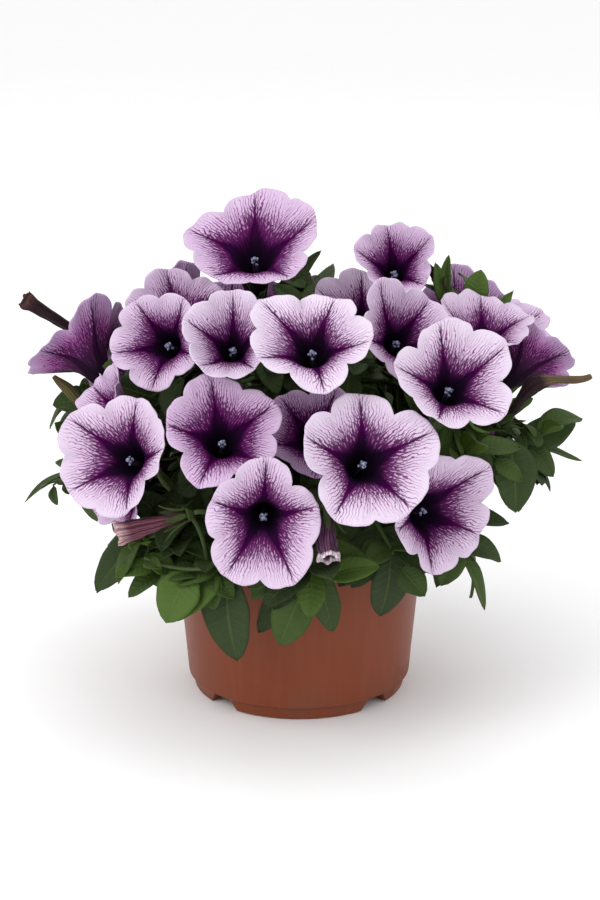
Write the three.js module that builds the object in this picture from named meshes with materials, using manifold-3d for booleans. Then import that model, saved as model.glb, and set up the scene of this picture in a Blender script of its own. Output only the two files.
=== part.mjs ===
// A petunia in bloom, growing in a plain 13 cm plastic pot.
// Millimetres, +Z up. The origin is on the pot's axis, on the surface that the pot stands on.
// The front of the plant faces -Y. Azimuth is measured from the front, towards +X.
import * as THREE from 'three';
import { mergeVertices } from 'three/addons/utils/BufferGeometryUtils.js';
import Module from 'manifold-3d';

const wasm = await Module();
wasm.setup();

// ---------------------------------------------------------------- driving dimensions

const gap = 0.3; // left between pieces that touch
const clearance = 0.5; // least space between a leaf or stalk and any other piece

const pot = {
  height: 100,
  topRadius: 65,
  baseRadius: 56.3, // outside of the wall, at floor level
  wall: 1.6,
  rimWidth: 1.2, // how far the rim stands out
  rimHeight: 5,
  floor: 6.6, // underside of the floor, above the feet
  floorThickness: 1.8,
  sides: 32,
};
const feet = { count: 4, outerTop: 55.6, outerBottom: 53.5, width: 9, gapTop: 9.8, gapBottom: 19 };
const drain = { count: 4, radius: 4, ring: 38 };
const soil = { edge: 87, crown: 4, relief: 1.4, rings: 3, sides: 16 };

// A bloom is a funnel: its limb spreads in the plane through its centre, and its tube ends behind.
const lobes = 5;
const funnel = { depth: 37, tubeRadius: 2, flare: 22, mouth: 6.4, thickness: 0.9 };

const stem = { radius: 1.7, sides: 5, steps: 7, rootDepth: 10, holeRadius: 2.4 };
const stalk = { radius: 1.1, steps: 3, leads: [13, 7], choices: 80 };
const calyx = {
  length: 4, // of its cup, below the sepals
  footRadius: 1.5,
  radius: 3.6,
  hollow: 2.7,
  sepalLength: 11,
  spread: 8.4, // how far the tips of the sepals stand out
};
const blade = { thickness: 0.8, fold: 0.22, start: 0.7, tries: 24 };
const bladeStations = [
  { along: 0.36, half: 0.5 },
  { along: 0.74, half: 0.37 },
];

const colours = {
  pot: new THREE.MeshStandardMaterial({ color: 0x96563c, roughness: 0.5, metalness: 0 }),
  soil: new THREE.MeshStandardMaterial({ color: 0x33261c, roughness: 1, metalness: 0 }),
  petal: new THREE.MeshStandardMaterial({ color: 0xc7a4c9, roughness: 0.6, metalness: 0 }),
  foliage: new THREE.MeshStandardMaterial({ color: 0x47602f, roughness: 0.6, metalness: 0 }),
  withered: new THREE.MeshStandardMaterial({ color: 0x55343f, roughness: 0.8, metalness: 0 }),
};

// Open blooms. at: centre of the limb. az, el: where it faces, in degrees. width: across the lobes.
// tall: height over width, where it isn't 1. roll turns the first lobe clockwise from the top.
// cup lifts the edge forward, as a share of the radius.
const blooms = [
  { at: [-22, -27, 234], az: -6, el: 53, width: 64, roll: -3, cup: 0.1 },
  { at: [-60, -12, 196], az: -12, el: 42, width: 49, roll: -20, cup: 0.1 },
  { at: [-66, -63, 195], az: -24, el: 24, width: 46, roll: 32, cup: 0.12 },
  { at: [-31, -85, 202], az: -4, el: 42, width: 43, tall: 1.1, roll: 0, cup: 0.25 },
  { at: [-109, 4, 177], az: -132, el: 42, width: 58, roll: 10, cup: 0.05 },
  { at: [5, -106, 207], az: -6, el: 46, width: 57, tall: 0.88, roll: 22, cup: 0.1 },
  { at: [26, -26, 201], az: -22, el: 42, width: 40, roll: 0, cup: 0.2 },
  { at: [50, 66, 170], az: 148, el: 46, width: 48, roll: 36, cup: 0.12 },
  { at: [46, -20, 224], az: 0, el: 44, width: 38, tall: 1.1, roll: -10, cup: 0.2 },
  { at: [49, -70, 200], az: 20, el: 34, width: 46, tall: 1.1, roll: -25, cup: 0.25 },
  { at: [70, -99, 187], az: 12, el: 42, width: 55, roll: -7, cup: 0.1 },
  { at: [90, -24, 195], az: 14, el: 68, width: 46, roll: 10, cup: 0.1 },
  { at: [117, 17, 166], az: 143, el: 24, width: 45, roll: 0, cup: 0.12 },
  { at: [115, 56, 176], az: 70, el: 48, width: 40, roll: 30, cup: 0.1 },
  { at: [84, 32, 188], az: 165, el: 35, width: 48, roll: 12, cup: 0.1 },
  { at: [-84, -90, 148], az: -28, el: 27, width: 58, roll: 8, cup: 0.1 },
  { at: [-34, -107, 164], az: 5, el: 40, width: 53, roll: -10, cup: 0.1 },
  { at: [6, -76, 155], az: -2, el: 40, width: 44, roll: 30, cup: 0.1 },
  { at: [31, -124, 157], az: 12, el: 30, width: 62, roll: 0, cup: 0.06 },
  { at: [-16, -128, 127], az: 0, el: 3, width: 52, tall: 1.16, roll: 3, cup: 0.08 },
  { at: [65, -104, 124], az: 38, el: 10, width: 60, tall: 0.9, roll: -19, cup: 0.1 },
  { at: [-88, -58, 118], az: -52, el: -14, width: 42, roll: 20, cup: 0.1 },
  { at: [-94, -48, 158], az: -62, el: 26, width: 45, roll: 0, cup: 0.12 },
  // The side that faces away from the front.
  { at: [-24, 30, 218], az: -160, el: 66, width: 56, roll: 14, cup: 0.1 },
  { at: [-68, 46, 186], az: -140, el: 44, width: 52, roll: -8, cup: 0.12 },
  { at: [2, 72, 184], az: 170, el: 48, width: 54, roll: 20, cup: 0.08 },
  { at: [-40, 92, 168], az: -162, el: 32, width: 60, roll: 0, cup: 0.1 },
  { at: [80, 88, 144], az: 142, el: 24, width: 58, roll: -15, cup: 0.1 },
  { at: [-88, 70, 150], az: -128, el: 24, width: 56, roll: 26, cup: 0.1 },
  { at: [22, 126, 146], az: 174, el: 20, width: 62, roll: 6, cup: 0.08 },
  { at: [98, 62, 116], az: 118, el: 8, width: 54, roll: 18, cup: 0.1 },
  { at: [-48, 112, 118], az: -156, el: 8, width: 58, roll: -12, cup: 0.1 },
].map((bloom, i) => ({ name: `bloom_${String(i + 1).padStart(2, '0')}`, ...bloom }));

// Withered flowers and closed buds. at: the end held by the calyx. bend: how far the middle bows up.
// radii: at equal steps along it.
const buds = [
  {
    name: 'withered_left',
    at: [-100, 36, 166],
    az: -65,
    el: 36,
    length: 52,
    bend: 0,
    radii: [2, 2.6, 2.6, 2.4, 3.4, 4, 1.4],
  },
  {
    name: 'withered_right',
    at: [98, -24, 144],
    az: 86,
    el: 31,
    length: 50,
    bend: 9,
    radii: [2, 3.4, 4.2, 4.4, 2.4, 3, 1.6],
  },
  {
    name: 'withered_front',
    at: [-52, -100, 122],
    az: -78,
    el: -14,
    length: 34,
    bend: 0,
    radii: [2, 3, 4, 5, 5.8, 6.4, 4.2],
  },
  {
    name: 'bud_front',
    at: [12, -112, 128],
    az: 5,
    el: -52,
    length: 24,
    bend: 0,
    radii: [2, 3.4, 4.2, 4.8, 5.2, 5, 3],
  },
  {
    name: 'bud_left',
    at: [-106, -4, 144],
    az: -86,
    el: 52,
    length: 24,
    bend: 1,
    radii: [2, 3, 3.4, 3.4, 2.8, 2.2, 1],
  },
  {
    name: 'bud_top',
    at: [72, 2, 203],
    az: -75,
    el: 56,
    length: 18,
    bend: 0,
    radii: [1.8, 2.4, 2.6, 2.4, 2, 1.6, 0.9],
  },
  {
    name: 'bud_back',
    at: [48, 98, 158],
    az: 160,
    el: 50,
    length: 24,
    bend: 1,
    radii: [2, 3, 3.4, 3.4, 2.8, 2.2, 1],
  },
];

// Leafy shoots. az, ring: where it is rooted, by its side of the pot and its distance from the axis.
// tip: where it ends. rise: how high it arches first. leaves: how many grow along it.
// size: length of the largest.
const shoots = [
  { az: 0, ring: 20, tip: [6, -94, 92], rise: 46, leaves: 7, size: 42 },
  { az: -26, ring: 20, tip: [-36, -86, 90], rise: 44, leaves: 7, size: 40 },
  { az: 26, ring: 20, tip: [44, -84, 98], rise: 46, leaves: 7, size: 40 },
  { az: -56, ring: 20, tip: [-74, -62, 96], rise: 46, leaves: 8, size: 36 },
  { az: 56, ring: 20, tip: [78, -56, 88], rise: 48, leaves: 8, size: 36 },
  { az: -92, ring: 20, tip: [-104, -6, 112], rise: 52, leaves: 8, size: 34 },
  { az: 92, ring: 20, tip: [108, -10, 124], rise: 56, leaves: 8, size: 36 },
  { az: -136, ring: 20, tip: [-78, 66, 100], rise: 50, leaves: 8, size: 40 },
  { az: 144, ring: 20, tip: [66, 82, 98], rise: 48, leaves: 8, size: 40 },
  { az: 180, ring: 20, tip: [4, 94, 96], rise: 48, leaves: 8, size: 42 },
  { az: -80, ring: 8, tip: [-52, -6, 154], rise: 56, leaves: 5, size: 32 },
  { az: 80, ring: 8, tip: [62, -6, 156], rise: 56, leaves: 5, size: 32 },
  { az: 0, ring: 8, tip: [-2, -34, 180], rise: 60, leaves: 5, size: 34 },
  { az: 180, ring: 8, tip: [-4, 36, 170], rise: 56, leaves: 5, size: 34 },
].map((shoot, i) => ({ name: `shoot_${String(i + 1).padStart(2, '0')}`, ...shoot }));

// Leaves that hang over the pot or stand out past the flowers.
// shoot: number of the one that carries it. place: share of the way along it. tip: where the leaf ends.
const outerLeaves = [
  { shoot: 2, place: 0.96, tip: [-29, -84, 44], width: 22 },
  { shoot: 2, place: 0.98, tip: [-60, -88, 66], width: 18 },
  { shoot: 2, place: 0.9, tip: [-66, -76, 74], width: 15 },
  { shoot: 4, place: 0.96, tip: [-97, -62, 70], width: 12 },
  { shoot: 4, place: 0.98, tip: [-84, -88, 84], width: 11 },
  { shoot: 1, place: 0.98, tip: [-9, -84, 52], width: 18 },
  { shoot: 1, place: 0.94, tip: [-20, -80, 56], width: 13 },
  { shoot: 1, place: 0.98, tip: [5, -106, 74], width: 13 },
  { shoot: 1, place: 0.9, tip: [34, -104, 98], width: 14 },
  { shoot: 1, place: 0.95, tip: [16, -82, 58], width: 13 },
  { shoot: 3, place: 0.98, tip: [38, -82, 66], width: 18 },
  { shoot: 3, place: 0.95, tip: [66, -88, 88], width: 12 },
  { shoot: 5, place: 0.96, tip: [90, -66, 62], width: 9 },
  { shoot: 5, place: 0.92, tip: [98, -46, 80], width: 13 },
  { shoot: 7, place: 0.92, tip: [106, -42, 104], width: 18 },
  { shoot: 7, place: 0.96, tip: [126, -14, 108], width: 12 },
  { shoot: 7, place: 0.98, tip: [141, -4, 118], width: 6 },
  { shoot: 7, place: 0.98, tip: [138, 0, 139], width: 16 },
  { shoot: 6, place: 0.9, tip: [-120, -14, 141], width: 12 },
  { shoot: 6, place: 0.96, tip: [-131, 0, 92], width: 12 },
  { shoot: 13, place: 0.98, tip: [10, 8, 216], width: 12 },
  { shoot: 12, place: 0.98, tip: [94, 12, 207], width: 11 },
];

// ---------------------------------------------------------------- small helpers

const radians = THREE.MathUtils.degToRad;
const up = new THREE.Vector3(0, 0, 1);
const vector = (list) => new THREE.Vector3(...list);

// Draw between two values. The same key always gives the same one.
function between(key, low, high) {
  const wave = Math.sin(key * 12.9898 + 4.137) * 43758.5453;
  return low + (high - low) * (wave - Math.floor(wave));
}

function direction(az, el) {
  const [a, e] = [radians(az), radians(el)];
  return new THREE.Vector3(Math.sin(a) * Math.cos(e), -Math.cos(a) * Math.cos(e), Math.sin(e));
}

// Frame whose Z points along `forward` and whose Y is as near to `towards` as it can be.
function frameAlong(origin, forward, towards = up) {
  const z = forward.clone().normalize();
  const x = new THREE.Vector3().crossVectors(towards, z).normalize();
  const y = new THREE.Vector3().crossVectors(z, x);
  return new THREE.Matrix4().makeBasis(x, y, z).setPosition(origin);
}

// Points round the Z axis, clockwise as seen from above.
function circle(count, radius, height, turn = 0) {
  return Array.from({ length: count }, (_, i) => {
    const angle = turn + (2 * Math.PI * i) / count;
    return new THREE.Vector3(radius * Math.sin(angle), radius * Math.cos(angle), height);
  });
}

// ---------------------------------------------------------------- solids

// Closed solid from a THREE geometry.
function solidOf(geometry) {
  const bare = geometry.clone();
  bare.deleteAttribute('normal');
  bare.deleteAttribute('uv');
  const merged = mergeVertices(bare, 1e-4);
  return new wasm.Manifold(
    new wasm.Mesh({
      numProp: 3,
      vertProperties: merged.attributes.position.array,
      triVerts: new Uint32Array(merged.index.array),
    }),
  );
}

// Closed solid from points and triangles, moved by a matrix.
function solidFrom(points, triangles, matrix = new THREE.Matrix4()) {
  const geometry = new THREE.BufferGeometry().setFromPoints(points);
  geometry.setIndex(triangles.flat());
  return solidOf(geometry.applyMatrix4(matrix));
}

function meshOf(name, solid, material) {
  const { vertProperties, triVerts } = solid.getMesh();
  const geometry = new THREE.BufferGeometry();
  geometry.setAttribute('position', new THREE.BufferAttribute(vertProperties, 3));
  geometry.setIndex(new THREE.BufferAttribute(triVerts, 1));
  geometry.computeVertexNormals();
  const mesh = new THREE.Mesh(geometry, material);
  mesh.name = name;
  return mesh;
}

// Band between a ring of points and the next one above it, which may have twice as many or more.
function band(lower, count, upper, upperCount) {
  const step = upperCount / count;
  const triangles = [];
  for (let i = 0; i < count; i += 1) {
    const next = (i + 1) % count;
    for (let j = 0; j < step; j += 1) {
      const from = i * step + j;
      triangles.push([lower + i, upper + from, upper + ((from + 1) % upperCount)]);
    }
    triangles.push([lower + i, upper + next * step, lower + next]);
  }
  return triangles;
}

// Closed skin over rings of points, with a point inside the first ring and one inside the last.
function skin(rings, start, end, matrix) {
  const points = [start, ...rings.flat(), end];
  const last = points.length - 1;
  const triangles = [];
  let first = 1;
  rings.forEach((ring, k) => {
    const next = rings[k + 1];
    const around = ring.map((_, i) => [first + i, first + ((i + 1) % ring.length)]);
    if (k === 0) triangles.push(...around.map(([a, b]) => [0, a, b]));
    if (!next) {
      triangles.push(...around.map(([a, b]) => [last, b, a]));
    } else if (next.length >= ring.length) {
      triangles.push(...band(first, ring.length, first + ring.length, next.length));
    } else {
      const turned = band(first + ring.length, next.length, first, ring.length);
      triangles.push(...turned.map(([a, b, c]) => [a, c, b]));
    }
    first += ring.length;
  });
  return solidFrom(points, triangles, matrix);
}

// Rings round a bent line of points. They turn with the line and aren't twisted against each other.
// towards: where the first point of the last ring lies.
function ringsAlong(points, radius, sides, towards) {
  const rings = [];
  const side = towards.clone();
  for (let k = points.length - 1; k >= 0; k -= 1) {
    const ahead = points[Math.min(k + 1, points.length - 1)];
    const behind = points[Math.max(k - 1, 0)];
    const frame = frameAlong(points[k], ahead.clone().sub(behind), side);
    side.setFromMatrixColumn(frame, 1);
    rings.unshift(circle(sides, radius, 0).map((p) => p.applyMatrix4(frame)));
  }
  return rings;
}

// Upright round peg, from its lower end.
function peg(x, y, low, length, radius) {
  const geometry = new THREE.CylinderGeometry(radius, radius, length, 6).rotateX(Math.PI / 2);
  return solidOf(geometry.translate(x, y, low + length / 2));
}

// ---------------------------------------------------------------- pot and soil

function outerAt(z) {
  const share = (z - pot.floor) / (pot.height - pot.floor);
  return pot.baseRadius + (pot.topRadius - pot.baseRadius) * share;
}
const innerAt = (z) => outerAt(z) - pot.wall;

// Gap between two feet, wider at the surface than at the floor, cut from the middle outwards.
function footGap(azimuth) {
  const { gapTop, gapBottom } = feet;
  const outline = new THREE.Shape([
    new THREE.Vector2(-gapBottom / 2, -1),
    new THREE.Vector2(gapBottom / 2, -1),
    new THREE.Vector2(gapTop / 2, pot.floor),
    new THREE.Vector2(-gapTop / 2, pot.floor),
  ]);
  const cut = new THREE.ExtrudeGeometry(outline, { depth: pot.baseRadius + 5, bevelEnabled: false });
  return solidOf(cut.rotateX(Math.PI / 2).rotateZ(radians(azimuth)));
}

function makePot() {
  const { height, wall, rimWidth, rimHeight, floor, floorThickness, sides } = pot;
  const insideFloor = floor + floorThickness;
  const profile = [
    [0, floor],
    [feet.outerBottom - feet.width, floor],
    [feet.outerBottom - feet.width, 0],
    [feet.outerBottom, 0],
    [feet.outerTop, floor - 0.6],
    [pot.baseRadius, floor],
    [outerAt(height - rimHeight), height - rimHeight],
    [outerAt(height - rimHeight) + rimWidth, height - rimHeight + 1],
    [outerAt(height) + rimWidth, height],
    [outerAt(height) - wall, height],
    [innerAt(insideFloor + 3), insideFloor + 3],
    [innerAt(insideFloor) - 3, insideFloor],
    [0, insideFloor],
  ].map(([radius, z]) => new THREE.Vector2(radius, z));
  let body = solidOf(new THREE.LatheGeometry(profile, sides).rotateX(Math.PI / 2));
  for (let i = 0; i < feet.count; i += 1) {
    body = body.subtract(footGap(45 + (360 * i) / feet.count));
  }
  for (const { x, y } of circle(drain.count, drain.ring, 0)) {
    body = body.subtract(peg(x, y, floor - 1, floorThickness + 2, drain.radius));
  }
  return body;
}

// The soil's surface is a low mound with crumbs.
function soilHeight(x, y) {
  const reach = Math.hypot(x, y) / innerAt(soil.edge);
  const crumbs = Math.sin(x * 0.31) * Math.cos(y * 0.27) + Math.sin(x * 0.13 + y * 0.21);
  return soil.edge + soil.crown * (1 - reach * reach) + soil.relief * 0.5 * crumbs;
}

function makeSoil() {
  const floor = pot.floor + pot.floorThickness + gap;
  const edge = innerAt(soil.edge) - gap * 2;
  const rings = [
    circle(soil.sides, innerAt(floor) - 3 - gap * 2, floor),
    circle(soil.sides, innerAt(floor + 3) - gap * 2, floor + 3),
  ];
  for (let k = 0; k < soil.rings; k += 1) {
    const ring = circle(soil.sides, edge * (1 - k / soil.rings), 0);
    rings.push(ring.map(({ x, y }) => new THREE.Vector3(x, y, soilHeight(x, y))));
  }
  return skin(rings, new THREE.Vector3(0, 0, floor), new THREE.Vector3(0, 0, soilHeight(0, 0)));
}

// ---------------------------------------------------------------- flowers

// Point of a bloom's edge, at an angle round it. key picks the bloom's own draws.
function edgePoint({ width, tall = 1, cup }, key, turn) {
  const radius = width / 2;
  const sector = (2 * Math.PI) / lobes;
  const lobe = Math.floor(turn / sector + 0.5);
  const offCentre = Math.abs(turn / sector - lobe) * 2; // 0 on a lobe's midrib, 1 in a notch
  const reach = radius * (1 - 0.17 * offCentre ** 3 + 0.04 * Math.sin(3 * turn + key));
  const curl = between(key + (lobe % lobes), -0.13, 0.12) * (1 - offCentre);
  const wave = 0.06 * Math.sin(2 * turn + key);
  const lift = radius * (cup + curl + wave);
  return new THREE.Vector3(reach * Math.sin(turn), reach * Math.cos(turn) * tall, lift);
}

const bloomFrame = ({ at, az, el, roll }) =>
  frameAlong(vector(at), direction(az, el)).multiply(new THREE.Matrix4().makeRotationZ(-radians(roll)));

// The corolla of one open bloom: a tube and hollow throat that widen into a limb of five joined lobes.
function makeBloom(bloom, key) {
  const radius = bloom.width / 2;
  const edge = circle(4 * lobes, 1, 0).map((_, i) => edgePoint(bloom, key, (Math.PI * i) / (2 * lobes)));
  const back = edge.map((p) => p.clone().setZ(p.z - funnel.thickness));
  const rings = [
    circle(lobes, funnel.tubeRadius, -funnel.depth),
    circle(2 * lobes, 0.19 * radius, -funnel.flare),
    circle(2 * lobes, 0.5 * radius, -funnel.mouth),
    back,
    edge,
    circle(2 * lobes, 0.48 * radius, -funnel.mouth + 1.4),
    circle(lobes, 0.13 * radius, -funnel.flare + 4),
  ];
  const [end, throat] = [-funnel.depth, -funnel.flare - 1].map((z) => new THREE.Vector3(0, 0, z));
  return skin(rings, end, throat, bloomFrame(bloom));
}

// A withered flower or a bud: a closed, slightly crooked tube.
function makeBud({ at, az, el, length, bend, radii }, key) {
  const steps = radii.length - 1;
  const middles = radii.map((_, k) => {
    const share = k / steps;
    const sway = 0.06 * length * share * (Math.sin(4 * share + key) - Math.sin(key));
    return new THREE.Vector3(sway, bend * Math.sin(Math.PI * share) ** 2, share * length);
  });
  const rings = radii.map((radius, k) =>
    circle(7, radius, 0, k / steps).map((p) => p.add(middles[k])),
  );
  return skin(rings, middles[0], middles[steps], frameAlong(vector(at), direction(az, el)));
}

// ---------------------------------------------------------------- green parts

// The bent line of a shoot: straight up from its root, and then in an arch to its tip.
function shootLine({ az, ring, tip, rise }) {
  const root = direction(az, 0).multiplyScalar(ring);
  root.z = soilHeight(root.x, root.y) + 2;
  const end = vector(tip);
  const bow = end.clone().add(new THREE.Vector3(-end.x, -end.y, 0).setLength(36));
  bow.z += rise * 0.55;
  const arch = new THREE.CubicBezierCurve3(root, root.clone().setZ(root.z + rise), bow, end);
  return arch.getPoints(stem.steps);
}

// A place on such a line, from 0 above the root to 1 at the tip, and the way it runs there.
function onLine(line, share) {
  const k = Math.min(Math.floor(share * stem.steps), stem.steps - 1);
  const point = line[k].clone().lerp(line[k + 1], share * stem.steps - k);
  return { point, run: line[k + 1].clone().sub(line[k]).normalize() };
}

function makeStem(line) {
  const foot = line[0].clone();
  foot.z -= 2 + stem.rootDepth - gap;
  const rings = ringsAlong([foot, ...line], stem.radius, stem.sides, new THREE.Vector3(0, 1, 0));
  return skin(rings, foot, line[stem.steps]);
}

// Stalk and calyx of a flower in one: a bar from its joint on a shoot, which widens into five sepals.
function makeHolder({ at, az, el }, depth, joint, lead, key) {
  const { length, footRadius, radius, hollow, sepalLength, spread } = calyx;
  const facing = direction(az, el);
  const frame = frameAlong(vector(at).addScaledVector(facing, -depth), facing);
  const foot = new THREE.Vector3(0, 0, -gap - length).applyMatrix4(frame);
  const bend = foot.clone().addScaledVector(facing, -lead);
  const line = new THREE.QuadraticBezierCurve3(joint, bend, foot).getPoints(stalk.steps);
  const bar = ringsAlong(line, stalk.radius, lobes, new THREE.Vector3().setFromMatrixColumn(frame, 1));
  const sepals = circle(2 * lobes, radius, -gap);
  for (let i = 0; i < 2 * lobes; i += 2) {
    sepals[i].setLength(spread).setZ(sepalLength * between(key + i, 0.85, 1.15));
  }
  const crown = [circle(lobes, footRadius, -gap - length), sepals, circle(lobes, hollow, -gap)];
  const rings = [...bar.slice(0, -1), ...crown.map((ring) => ring.map((p) => p.applyMatrix4(frame)))];
  return skin(rings, joint, new THREE.Vector3(0, 0, -gap).applyMatrix4(frame));
}

// A leaf: thin, folded along its midrib and arched, with its base on what carries it.
function makeLeaf({ base, tip, width, arch, face }) {
  const along = tip.clone().sub(base);
  const length = along.length() - blade.start;
  const start = base.clone().addScaledVector(along.normalize(), blade.start);
  const top = [new THREE.Vector3(0, 0, 0)];
  for (const station of bladeStations) {
    const [half, z] = [station.half * width, station.along * length];
    const y = arch * length * Math.sin(Math.PI * station.along);
    top.push(new THREE.Vector3(-half, y + blade.fold * half, z));
    top.push(new THREE.Vector3(0, y, z));
    top.push(new THREE.Vector3(half, y + blade.fold * half, z));
  }
  top.push(new THREE.Vector3(0, 0, length));
  const count = top.length;
  const upper = [[0, 1, 2], [0, 2, 3], [1, 5, 2], [1, 4, 5], [2, 6, 3], [2, 5, 6], [4, 7, 5], [5, 7, 6]];
  const edge = [0, 1, 4, 7, 6, 3];
  const triangles = upper.flatMap(([a, b, c]) => [[a, b, c], [a + count, c + count, b + count]]);
  edge.forEach((a, i) => {
    const b = edge[(i + 1) % edge.length];
    triangles.push([a, b + count, b], [a, a + count, b + count]);
  });
  const under = top.map((p) => p.clone().setY(p.y - blade.thickness));
  return solidFrom([...top, ...under], triangles, frameAlong(start, along, face));
}

// The n-th leaf of a shoot. Each further try turns it on round the stem, and later ones are smaller.
function leafOnShoot(shoot, line, n, attempt) {
  const key = shoot.tip[0] + n * 7.3;
  const place = 0.3 + (0.68 * (n + 1)) / shoot.leaves;
  const { point: base, run } = onLine(line, place);
  const side = new THREE.Vector3().crossVectors(run, up).normalize();
  const over = new THREE.Vector3().crossVectors(side, run);
  const turn = radians(137.5 * n + 47 * attempt + between(key, -15, 15));
  const length = shoot.size * between(key + 2, 0.72, 1) * 0.9 ** Math.floor(attempt / 4);
  const along = run.multiplyScalar(between(key + 1, 0.35, 0.75));
  along.addScaledVector(side, Math.cos(turn)).addScaledVector(over, Math.sin(turn));
  along.addScaledVector(up, -0.2);
  const tip = base.clone().addScaledVector(along.normalize(), length);
  const face = new THREE.Vector3(base.x, base.y, 0).setLength(0.7).add(up);
  const width = length * between(key + 3, 0.46, 0.56);
  return { base, tip, face, width, arch: between(key + 4, 0.06, 0.16) };
}

// A leaf of the list above. Further tries swing its tip a little, in growing steps.
function outerLeaf({ place, tip, width }, line, attempt) {
  const base = onLine(line, place).point;
  const swing = direction(137.5 * attempt, 20 * Math.sin(attempt)).multiplyScalar(1.2 * attempt);
  const end = vector(tip).add(swing);
  return { base, tip: end, width, arch: 0.1, face: new THREE.Vector3(base.x, base.y, 60) };
}

// ---------------------------------------------------------------- assembly

const nodes = new Map(); // name of each piece, with its solid and material

// Whether a solid keeps its distance from every piece but the ones named.
function isClear(solid, own) {
  const box = solid.boundingBox();
  for (const [name, piece] of nodes) {
    const other = piece.solid.boundingBox();
    const apart = [0, 1, 2].some(
      (i) => box.min[i] - clearance > other.max[i] || other.min[i] - clearance > box.max[i],
    );
    if (!own.includes(name) && !apart && piece.solid.minGap(solid, clearance) < clearance) return false;
  }
  return true;
}

const place = (name, solid, material) => nodes.set(name, { solid, material });
const grow = (name, solid) => place(name, nodes.get(name).solid.add(solid), nodes.get(name).material);

place('pot', makePot(), colours.pot);
blooms.forEach((bloom, i) => place(bloom.name, makeBloom(bloom, 10 * i), colours.petal));
buds.forEach((bud, i) => place(bud.name, makeBud(bud, i), colours.withered));

// Shoots, each standing in a plain hole in the soil.
let bed = makeSoil();
const lines = shoots.map(shootLine);
shoots.forEach(({ name }, i) => {
  const { x, y, z } = lines[i][0];
  bed = bed.subtract(peg(x, y, z - 2 - stem.rootDepth, stem.rootDepth + 10, stem.holeRadius));
  const body = makeStem(lines[i]);
  if (!isClear(body, [])) throw new Error(`${name} runs into another piece`);
  place(name, body, colours.foliage);
});
place('soil', bed, colours.soil);

// Every flower on its stalk, fused to the nearest shoot that the stalk reaches unhindered.
const jointPlaces = Array.from({ length: 14 }, (_, k) => 0.35 + 0.048 * k);
const joints = lines.flatMap((line, i) =>
  jointPlaces.map((share) => ({ name: shoots[i].name, point: onLine(line, share).point })),
);
const flowers = [
  ...blooms.map((bloom) => ({ ...bloom, depth: funnel.depth })),
  ...buds.map((bud) => ({ ...bud, depth: 0 })),
];
flowers.forEach((flower, i) => {
  const behind = vector(flower.at).addScaledVector(direction(flower.az, flower.el), -flower.depth - 17);
  const choices = joints
    .map((joint) => ({ ...joint, far: joint.point.distanceTo(behind) }))
    .sort((a, b) => a.far - b.far)
    .slice(0, stalk.choices)
    .flatMap((joint) => stalk.leads.map((lead) => ({ ...joint, lead })));
  const found = choices.some(({ name, point, lead }) => {
    const solid = makeHolder(flower, flower.depth, point, lead, 50 * i);
    const clear = isClear(solid, [name, flower.name]);
    if (clear) grow(name, solid);
    return clear;
  });
  if (!found) throw new Error(`no stalk reaches ${flower.name}`);
});

// Leaves: first the ones with a place of their own, then those along each shoot.
function growLeaf(name, leafFor) {
  for (let attempt = 0; attempt < blade.tries; attempt += 1) {
    const shape = leafFor(attempt);
    const leaf = makeLeaf(shape);
    const free = makeLeaf({ ...shape, base: shape.base.clone().lerp(shape.tip, 0.12) });
    if (isClear(leaf, [name]) && isClear(free, [])) {
      grow(name, leaf);
      return;
    }
  }
}
for (const leaf of outerLeaves) {
  growLeaf(shoots[leaf.shoot - 1].name, (attempt) => outerLeaf(leaf, lines[leaf.shoot - 1], attempt));
}
shoots.forEach((shoot, i) => {
  for (let n = 0; n < shoot.leaves; n += 1) {
    growLeaf(shoot.name, (attempt) => leafOnShoot(shoot, lines[i], n, attempt));
  }
});

const plant = new THREE.Group();
for (const [name, { solid, material }] of nodes) plant.add(meshOf(name, solid, material));

export default plant;
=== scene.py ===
import math

import bpy
from mathutils import Matrix, Vector, kdtree, noise
from mathutils.bvhtree import BVHTree


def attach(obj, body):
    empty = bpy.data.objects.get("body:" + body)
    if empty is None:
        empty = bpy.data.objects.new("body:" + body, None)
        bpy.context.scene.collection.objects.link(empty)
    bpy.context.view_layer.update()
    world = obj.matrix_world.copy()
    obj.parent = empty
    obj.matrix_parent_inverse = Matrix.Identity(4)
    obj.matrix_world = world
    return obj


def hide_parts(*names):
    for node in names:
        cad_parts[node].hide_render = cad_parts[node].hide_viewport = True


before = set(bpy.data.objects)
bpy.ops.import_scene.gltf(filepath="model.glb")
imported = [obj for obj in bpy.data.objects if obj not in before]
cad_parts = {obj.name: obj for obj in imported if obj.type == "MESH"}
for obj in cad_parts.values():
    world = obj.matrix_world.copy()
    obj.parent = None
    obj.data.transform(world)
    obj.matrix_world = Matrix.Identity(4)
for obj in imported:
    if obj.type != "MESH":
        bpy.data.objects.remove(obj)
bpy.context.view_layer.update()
up = Vector((0, 0, 1))
mm = 0.001
drawnTurn = 6.283  # the most, in radians, that a direction is drawn from
print("solid parts loaded")


# Working tools

def deselectAll():
    if bpy.context.object and bpy.context.object.mode != "OBJECT":
        bpy.ops.object.mode_set(mode="OBJECT")
    bpy.ops.object.select_all(action="DESELECT")


def activate(piece):
    deselectAll()
    piece.select_set(True)
    bpy.context.view_layer.objects.active = piece


def applyModifier(piece, kind, **settings):
    activate(piece)
    modifier = piece.modifiers.new(kind.title(), kind)
    for key, value in settings.items():
        setattr(modifier, key, value)
    bpy.ops.object.modifier_apply(modifier=modifier.name)


def newGrid(name, columns, rows):  # flat sheet from 0 to 1 both ways, whose UV map matches
    deselectAll()
    bpy.ops.mesh.primitive_grid_add(x_subdivisions=columns, y_subdivisions=rows, size=1, location=(0.5, 0.5, 0))
    bpy.ops.object.transform_apply(location=True)
    sheet = bpy.context.object
    sheet.name = name
    return sheet


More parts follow.
